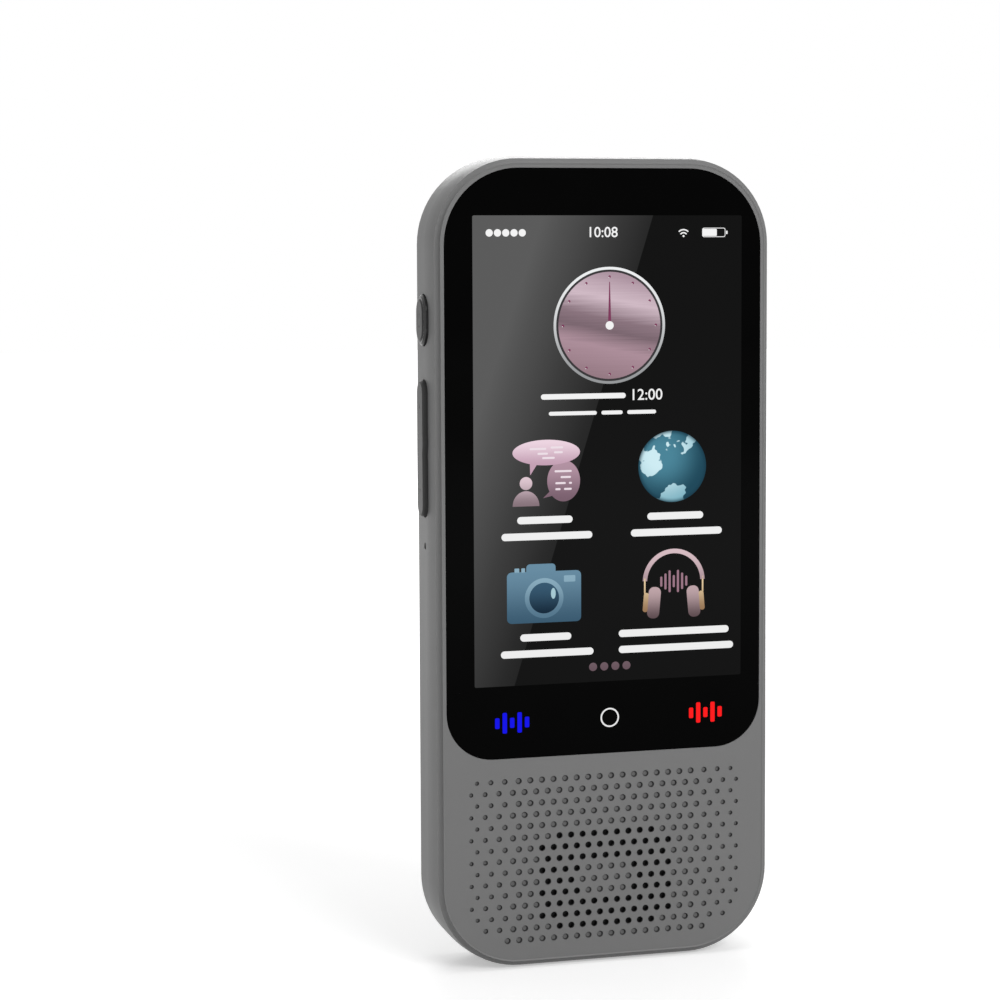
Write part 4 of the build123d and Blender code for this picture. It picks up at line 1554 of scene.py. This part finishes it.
@dataclass
class Labels(Picture):
    """A number and plain bars where an interface has its labels."""

    hour: str = "12:00"
    hour_place: Pair = (8.0, 106.1)
    hour_height: float = 2.1
    place_height: float = 1.0
    places: tuple[Triple, ...] = ((-12.3, 4.0, 106.1),)
    note_height: float = 0.72
    notes: tuple[Triple, ...] = ((-10.8, -1.6, 103.0), (-0.7, 3.4, 103.0), (4.3, 9.9, 103.0))
    caption_height: float = 1.35
    captions: tuple[Triple, ...] = (
        (-16.9, -6.3, 83.5), (-19.9, -2.5, 80.5), (8.2, 19.2, 83.5), (5.0, 22.9, 80.5),
        (-16.4, -6.6, 61.8), (-20.1, -2.3, 58.8), (2.6, 24.3, 61.8), (2.6, 25.2, 58.8),
    )

    def build(self) -> None:
        """Draw the number, then each bar from its left end to its right end."""
        parts = [self.figures(self.hour, *self.hour_place, self.hour_height)]
        for height, rows in ((self.place_height, self.places), (self.note_height, self.notes),
                             (self.caption_height, self.captions)):
            parts += [self.bar(Patch((left + right) / 2, v, right - left, height))
                      for left, right, v in rows]
        self.finish(parts, "label_bars", self.lettering())


@dataclass
class TalkPicture(Picture):
    """Two speech bubbles and a listener."""

    x: float = -11.3
    z: float = 91.0
    upper: Patch = Patch(0.0, 4.9, 12.9, 4.7)
    upper_tail: Patch = Patch(-2.6, 2.5, 1.7, 2.7, turn=164.0)
    lower: Patch = Patch(3.3, -0.4, 6.3, 7.6)
    lower_tail: Patch = Patch(0.75, -2.75, 1.3, 2.4, turn=118.0)
    crown: Pair = (-3.9, -0.7)
    crown_radius: float = 1.2
    shoulders: Patch = Patch(-3.9, -4.9, 5.1, 5.6)
    line: float = 0.38
    strokes: tuple[Triple, ...] = (
        (-1.6, 5.6, 3.2), (2.0, 5.8, 2.4), (-0.7, 4.7, 2.0), (2.3, 4.9, 1.7), (0.4, 3.9, 2.4),
        (3.2, 1.4, 3.3), (3.7, 0.3, 2.0), (2.7, -0.8, 2.0), (4.6, -0.8, 0.6),
        (2.2, -1.9, 1.0), (4.1, -1.9, 1.5),
    )

    def build_bubbles(self) -> None:
        """Draw the bubbles, each with its tail."""
        parts = [self.oval(self.upper), self.wedge(self.upper_tail)]
        self.finish(parts, "bubble_upper", self.fade(
            "bubble_pale", srgb(196, 160, 180), srgb(238, 214, 226), low=2.4, high=7.4))
        parts = [self.oval(self.lower, layers=0.5), self.wedge(self.lower_tail, layers=0.5)]
        self.finish(parts, "bubble_lower", self.fade(
            "bubble_deep", srgb(122, 96, 110), srgb(178, 146, 162), low=-4.0, high=3.0))

    def build_listener(self) -> None:
        """Draw the head, and the shoulders down to a level edge."""
        head = self.disc(*self.crown, self.crown_radius, sides=32)
        body = self.oval(self.shoulders)
        self.face.cut(body, 0.0, self.z + self.shoulders.v, 180.0)
        self.finish([head, body], "listener", self.fade(
            "listener_rose", srgb(134, 114, 122), srgb(226, 202, 212), low=-5.0, high=1.0))

    def build(self) -> None:
        """Draw the picture."""
        self.build_bubbles()
        self.build_listener()
        lines = [self.bar(Patch(u, v, width, self.line), layers=2)
                 for u, v, width in self.strokes]
        self.finish(lines, "bubble_lines", self.flat("bubble_white", srgb(240, 226, 234)))


@dataclass
class Globe(Picture):
    """The globe."""

    x: float = 13.1
    z: float = 92.7
    radius: float = 6.65

    def build(self) -> None:
        """Draw the ball."""
        ball = self.disc(0.0, 0.0, self.radius, sides=80)
        self.finish([ball], "globe", WorldFace(self.x, self.z).build())


@dataclass
class CameraPicture(Picture):
    """The picture of a camera."""

    x: float = -11.8
    z: float = 69.4
    body: Patch = Patch(0.0, -0.15, 14.2, 9.5, 0.9)
    hump: Patch = Patch(-0.6, 4.9, 5.6, 2.2, 0.7)
    flash: Patch = Patch(4.9, 3.1, 2.2, 1.2, 0.2)
    buttons: tuple[Patch, ...] = (Patch(-5.2, 4.9, 0.9, 0.8, 0.1),
                                  Patch(-4.0, 4.9, 0.7, 0.8, 0.1))
    lens: Pair = (0.0, -0.35)
    lens_radius: float = 2.85
    ring_radius: float = 3.7
    ring_width: float = 0.85
    glint: Patch = Patch(1.75, 0.45, 0.9, 2.0)

    def build(self) -> None:
        """Draw the picture."""
        self.finish([self.panel(self.body), self.panel(self.hump)], "camera_body", self.fade(
            "camera_steel", srgb(56, 88, 110), srgb(104, 140, 162), low=-6.0, high=6.0))
        trim = [self.ring(*self.lens, self.ring_radius, self.ring_width, layers=2, sides=64),
                self.panel(self.flash, layers=2)]
        trim += [self.panel(button) for button in self.buttons]
        self.finish(trim, "camera_trim", self.fade(
            "camera_pale", srgb(84, 118, 140), srgb(138, 172, 190), low=-4.0, high=4.0))
        lens = self.disc(*self.lens, self.lens_radius, layers=2, sides=64)
        self.finish([lens], "camera_lens", self.fade(
            "camera_deep", srgb(16, 36, 54), srgb(54, 88, 112), low=-4.0, high=2.6))
        self.finish([self.oval(self.glint, layers=3)], "camera_glint",
                    self.flat("camera_light", srgb(170, 206, 216)))


@dataclass
class PhonesPicture(Picture):
    """The picture of headphones round a sound wave."""

    x: float = 13.4
    z: float = 70.3
    wave_z: float = 0.9
    band_radius: float = 6.1
    band_width: float = 0.85
    band_span: Pair = (2.0, 178.0)
    cup: Patch = Patch(3.9, -3.0, 2.4, 5.9, 1.05, turn=5.0)
    cushion: Patch = Patch(5.5, -2.9, 1.0, 3.6, 0.45, turn=5.0)
    stem: Patch = Patch(5.7, 0.2, 0.3, 3.0, 0.1)
    bar_pitch: float = 0.82
    bar_width: float = 0.42
    bar_heights: tuple[float, ...] = (1.9, 3.0, 4.1, 2.3, 4.2, 3.1, 1.9)

    def build(self) -> None:
        """Draw the picture."""
        band = self.arc(0.0, self.wave_z, self.band_radius, self.band_width, self.band_span)
        self.finish([band], "phones_band", self.fade(
            "phones_rose", srgb(150, 122, 130), srgb(214, 188, 194), low=-2.0, high=7.0))
        cups = [self.panel(self.cup.sided(side)) for side in (-1, 1)]
        self.finish(cups, "phones_cups", self.fade(
            "phones_dusk", srgb(94, 76, 80), srgb(190, 164, 168), low=-6.2, high=0.0))
        trim = [self.panel(patch.sided(side))
                for side in (-1, 1) for patch in (self.cushion, self.stem)]
        self.finish(trim, "phones_trim", self.fade(
            "phones_gold", srgb(150, 116, 84), srgb(232, 206, 164), low=-5.0, high=1.6))
        middle = len(self.bar_heights) // 2
        bars = [self.bar(Patch((n - middle) * self.bar_pitch, self.wave_z, self.bar_width, height))
                for n, height in enumerate(self.bar_heights)]
        self.finish(bars, "phones_wave", self.flat("phones_pink", srgb(160, 122, 138)))


@dataclass
class PageDots(Picture):
    """The four page dots."""

    x: float = -2.4
    z: float = 55.8
    count: int = 4
    pitch: float = 2.17
    radius: float = 0.78

    def build(self) -> None:
        """Draw the dots."""
        first = self.disc(0.0, 0.0, self.radius, sides=28)
        dots = self.face.copies(first, [(self.pitch * n, 0.0) for n in range(1, self.count)])
        self.finish(dots, "page_dots", self.fade(
            "page_rose", srgb(104, 84, 92), srgb(112, 92, 100), low=-0.8, high=1.2))


@dataclass
class TouchMarks(Picture):
    """The home ring and the two sound marks printed under the screen."""

    z: float = 46.15
    ring_x: float = 0.84
    ring_radius: float = 1.8
    ring_line: float = 0.28
    bar_pitch: float = 1.42
    bar_width: float = 0.86
    bar_corner: float = 0.25
    bar_heights: tuple[float, ...] = (2.0, 3.85, 1.9, 3.8, 2.0)
    waves: tuple[tuple[str, float, Colour], ...] = (("blue_wave", -18.0, srgb(20, 20, 232)),
                                                    ("red_wave", 19.7, srgb(255, 28, 30)))

    def build(self) -> None:
        """Draw the marks."""
        ring = self.ring(self.ring_x, 0.0, self.ring_radius, self.ring_line, layers=0, sides=64)
        self.finish([ring], "home_ring", self.lettering())
        middle = len(self.bar_heights) // 2
        for name, x, ink in self.waves:
            bars = [self.panel(Patch(x + (n - middle) * self.bar_pitch, 0.0, self.bar_width,
                                     height, self.bar_corner), layers=0)
                    for n, height in enumerate(self.bar_heights)]
            self.finish(bars, name, Glow(f"{name}_ink", ink, ink).build())


# --- The CAD nodes --------------------------------------------------------------------
@dataclass
class NodeGroup(SubAssembly):
    """CAD nodes that are dressed together."""

    def finishes(self) -> dict[str, Finish]:
        """The finish of each node, by the node's name."""
        raise NotImplementedError

    def build(self) -> None:
        """Dress the nodes."""
        for name, finish in self.finishes().items():
            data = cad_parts[name].data
            data.materials.clear()
            data.materials.append(finish.build())
            self.pieces.append(name)


@dataclass
class Case(NodeGroup):
    """The housing, its cover and the glass."""

    front: Colour = srgb(126, 126, 126)
    back: Colour = srgb(120, 120, 120)
    glass: Colour = srgb(1, 1, 1)

    def finishes(self) -> dict[str, Finish]:
        """The finish of each node of the case.

        Returns:
            The finishes, by the names of the nodes.
        """
        return {
            "front_housing": GrillePaintWithShade("housing_paint_and_shade", self.front),
            "back_cover": Satin("cover_paint", self.back),
            "display_glass": Gloss("cover_glass", self.glass, 0.04, level=0.02, smudge=0.02),
        }


@dataclass
class Keys(NodeGroup):
    """The keys, their rims and what is printed on them."""

    paint: Colour = srgb(70, 70, 70)
    relief: float = 0.1
    pale_ink: Colour = srgb(150, 150, 150)
    blue_ink: Colour = srgb(34, 36, 190)
    red_ink: Colour = srgb(190, 34, 36)
    black_rim: Colour = srgb(14, 14, 15)
    blue_rim: Colour = srgb(30, 32, 150)
    red_rim: Colour = srgb(165, 30, 32)
    power_z: float = 120.2
    rocker_z: float = 96.6
    photo_z: float = 120.9
    blue_z: float = 103.6
    red_z: float = 89.2

    def cap(self, name: str, mark: Mark, middle: float, ink: Colour = BLACK) -> KeyPaint:
        """The paint of one cap, with its mark at the height of the cap's middle."""
        return KeyPaint(name, self.paint, relief=self.relief, mark=mark, key_z=middle, ink=ink)

    def finishes(self) -> dict[str, Finish]:
        """The finish of each cap and rim.

        Returns:
            The finishes, by the names of the nodes.
        """
        return {
            "volume_rocker": self.cap("rocker_paint", Mark.ARROWS, self.rocker_z),
            "power_key": self.cap("power_paint", Mark.POWER, self.power_z),
            "photo_key": self.cap("photo_paint", Mark.PHOTO, self.photo_z, self.pale_ink),
            "blue_talk_key": self.cap("blue_key_paint", Mark.WAVE, self.blue_z, self.blue_ink),
            "red_talk_key": self.cap("red_key_paint", Mark.WAVE, self.red_z, self.red_ink),
            "power_key_rim": Gloss("power_rim_black", self.black_rim, 0.25),
            "photo_key_rim": Gloss("photo_rim_black", self.black_rim, 0.25),
            "blue_talk_key_rim": Gloss("talk_rim_blue", self.blue_rim, 0.2),
            "red_talk_key_rim": Gloss("talk_rim_red", self.red_rim, 0.2),
        }


@dataclass
class RearCamera(NodeGroup):
    """The camera's turned ring, its bezel, its glass and the module behind."""

    def finishes(self) -> dict[str, Finish]:
        """The finish of each node of the camera.

        Returns:
            The finishes, by the names of the nodes.
        """
        return {
            "camera_ring": Turned("ring_black"),
            "camera_bezel": Gloss("bezel_black", srgb(9, 9, 11), 0.12, level=0.2),
            "camera_window": LensGlass("lens_glass"),
            "camera_module": Satin("module_plastic", srgb(20, 20, 22), 0.4),
        }


@dataclass
class Speaker(NodeGroup):
    """The speaker and what lies between it and the grille."""

    def finishes(self) -> dict[str, Finish]:
        """The finish of each node of the speaker.

        Returns:
            The finishes, by the names of the nodes.
        """
        return {
            "speaker_mesh": Woven("mesh_black", srgb(9, 9, 10)),
            "speaker_gasket": Satin("gasket_foam", srgb(24, 24, 25), 0.9, grain=0.3, relief=0.6),
            "speaker_module": Satin("speaker_plastic", srgb(30, 30, 32), 0.5),
            "speaker_cone": Satin("cone_film", srgb(40, 40, 42), 0.4),
        }


@dataclass
class Frames(NodeGroup):
    """The frames inside, their screws and the display's metal back."""

    cast: Colour = srgb(150, 150, 154)
    plastic: Colour = srgb(30, 30, 32)
    screw: Colour = srgb(168, 168, 172)

    def finishes(self) -> dict[str, Finish]:
        """The finish of each frame and its screws.

        Returns:
            The finishes, by the names of the nodes.
        """
        return {
            "mid_frame": Metal("cast_frame", self.cast, 0.45, relief=0.3),
            "inner_frame": Satin("frame_plastic", self.plastic, 0.55, grain=0.25, relief=0.3),
            "inner_frame_screws": Metal("screw_steel", self.screw),
            "mid_frame_screws": Metal("frame_screw_steel", self.screw),
            "display_module": Metal("module_steel", self.cast, relief=0.1),
        }


@dataclass
class Electronics(NodeGroup):
    """Boards, battery, sockets, switches and microphones."""

    lacquer: Colour = srgb(14, 62, 42)
    runs: Colour = srgb(34, 98, 66)
    film: Colour = srgb(120, 72, 22)
    film_runs: Colour = srgb(168, 108, 40)
    gold: Colour = srgb(206, 168, 86)
    switch: Colour = srgb(176, 176, 180)

    def finishes(self) -> dict[str, Finish]:
        """The finish of each electronic part.

        Returns:
            The finishes, by the names of the nodes.
        """
        return {
            "main_board": Circuit("main_circuit", self.lacquer, self.runs),
            "usb_board": Circuit("usb_circuit", self.lacquer, self.runs),
            "left_key_board": Circuit("left_flex", self.film, self.film_runs),
            "right_key_board": Circuit("right_flex", self.film, self.film_runs),
            "shield_cans": Metal("can_tin", srgb(176, 178, 182), 0.36, relief=0.2),
            "card_socket": Metal("socket_tin", srgb(168, 168, 172), 0.34, relief=0.2),
            "board_connectors": Satin("connector_plastic", srgb(34, 32, 30), 0.6),
            "battery": Satin("battery_film", srgb(52, 54, 58), 0.32, grain=0.5, relief=0.2),
            "battery_contacts": Metal("contact_gold", self.gold, 0.25),
            "antenna": Metal("antenna_gold", self.gold, 0.25),
            "usb_socket": Metal("usb_steel", srgb(182, 182, 186), 0.28),
            "left_switches": Metal("left_switch_steel", self.switch),
            "right_switches": Metal("right_switch_steel", self.switch),
            "microphones": Metal("microphone_steel", srgb(176, 170, 150)),
            "microphone_boots": Satin("boot_rubber", srgb(22, 22, 23), 0.85),
        }


def main() -> None:
    """Build the scene in order."""
    logging.basicConfig(level=logging.INFO, format="%(name)s: %(message)s")
    Studio().build()
    bare = set(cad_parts)
    for kind in (Case, Keys, RearCamera, Speaker, Frames, Electronics, Backdrop, StatusBar, Clock,
                 Labels, TalkPicture, Globe, CameraPicture, PhonesPicture, PageDots, TouchMarks):
        group = kind()
        group.build()
        for name in group.pieces:
            log.info("%s: %s", kind.__name__, name)
        bare -= set(group.pieces)
    if bare:
        raise ValueError(f"no finish for {sorted(bare)}")


if __name__ == "__main__":
    main()
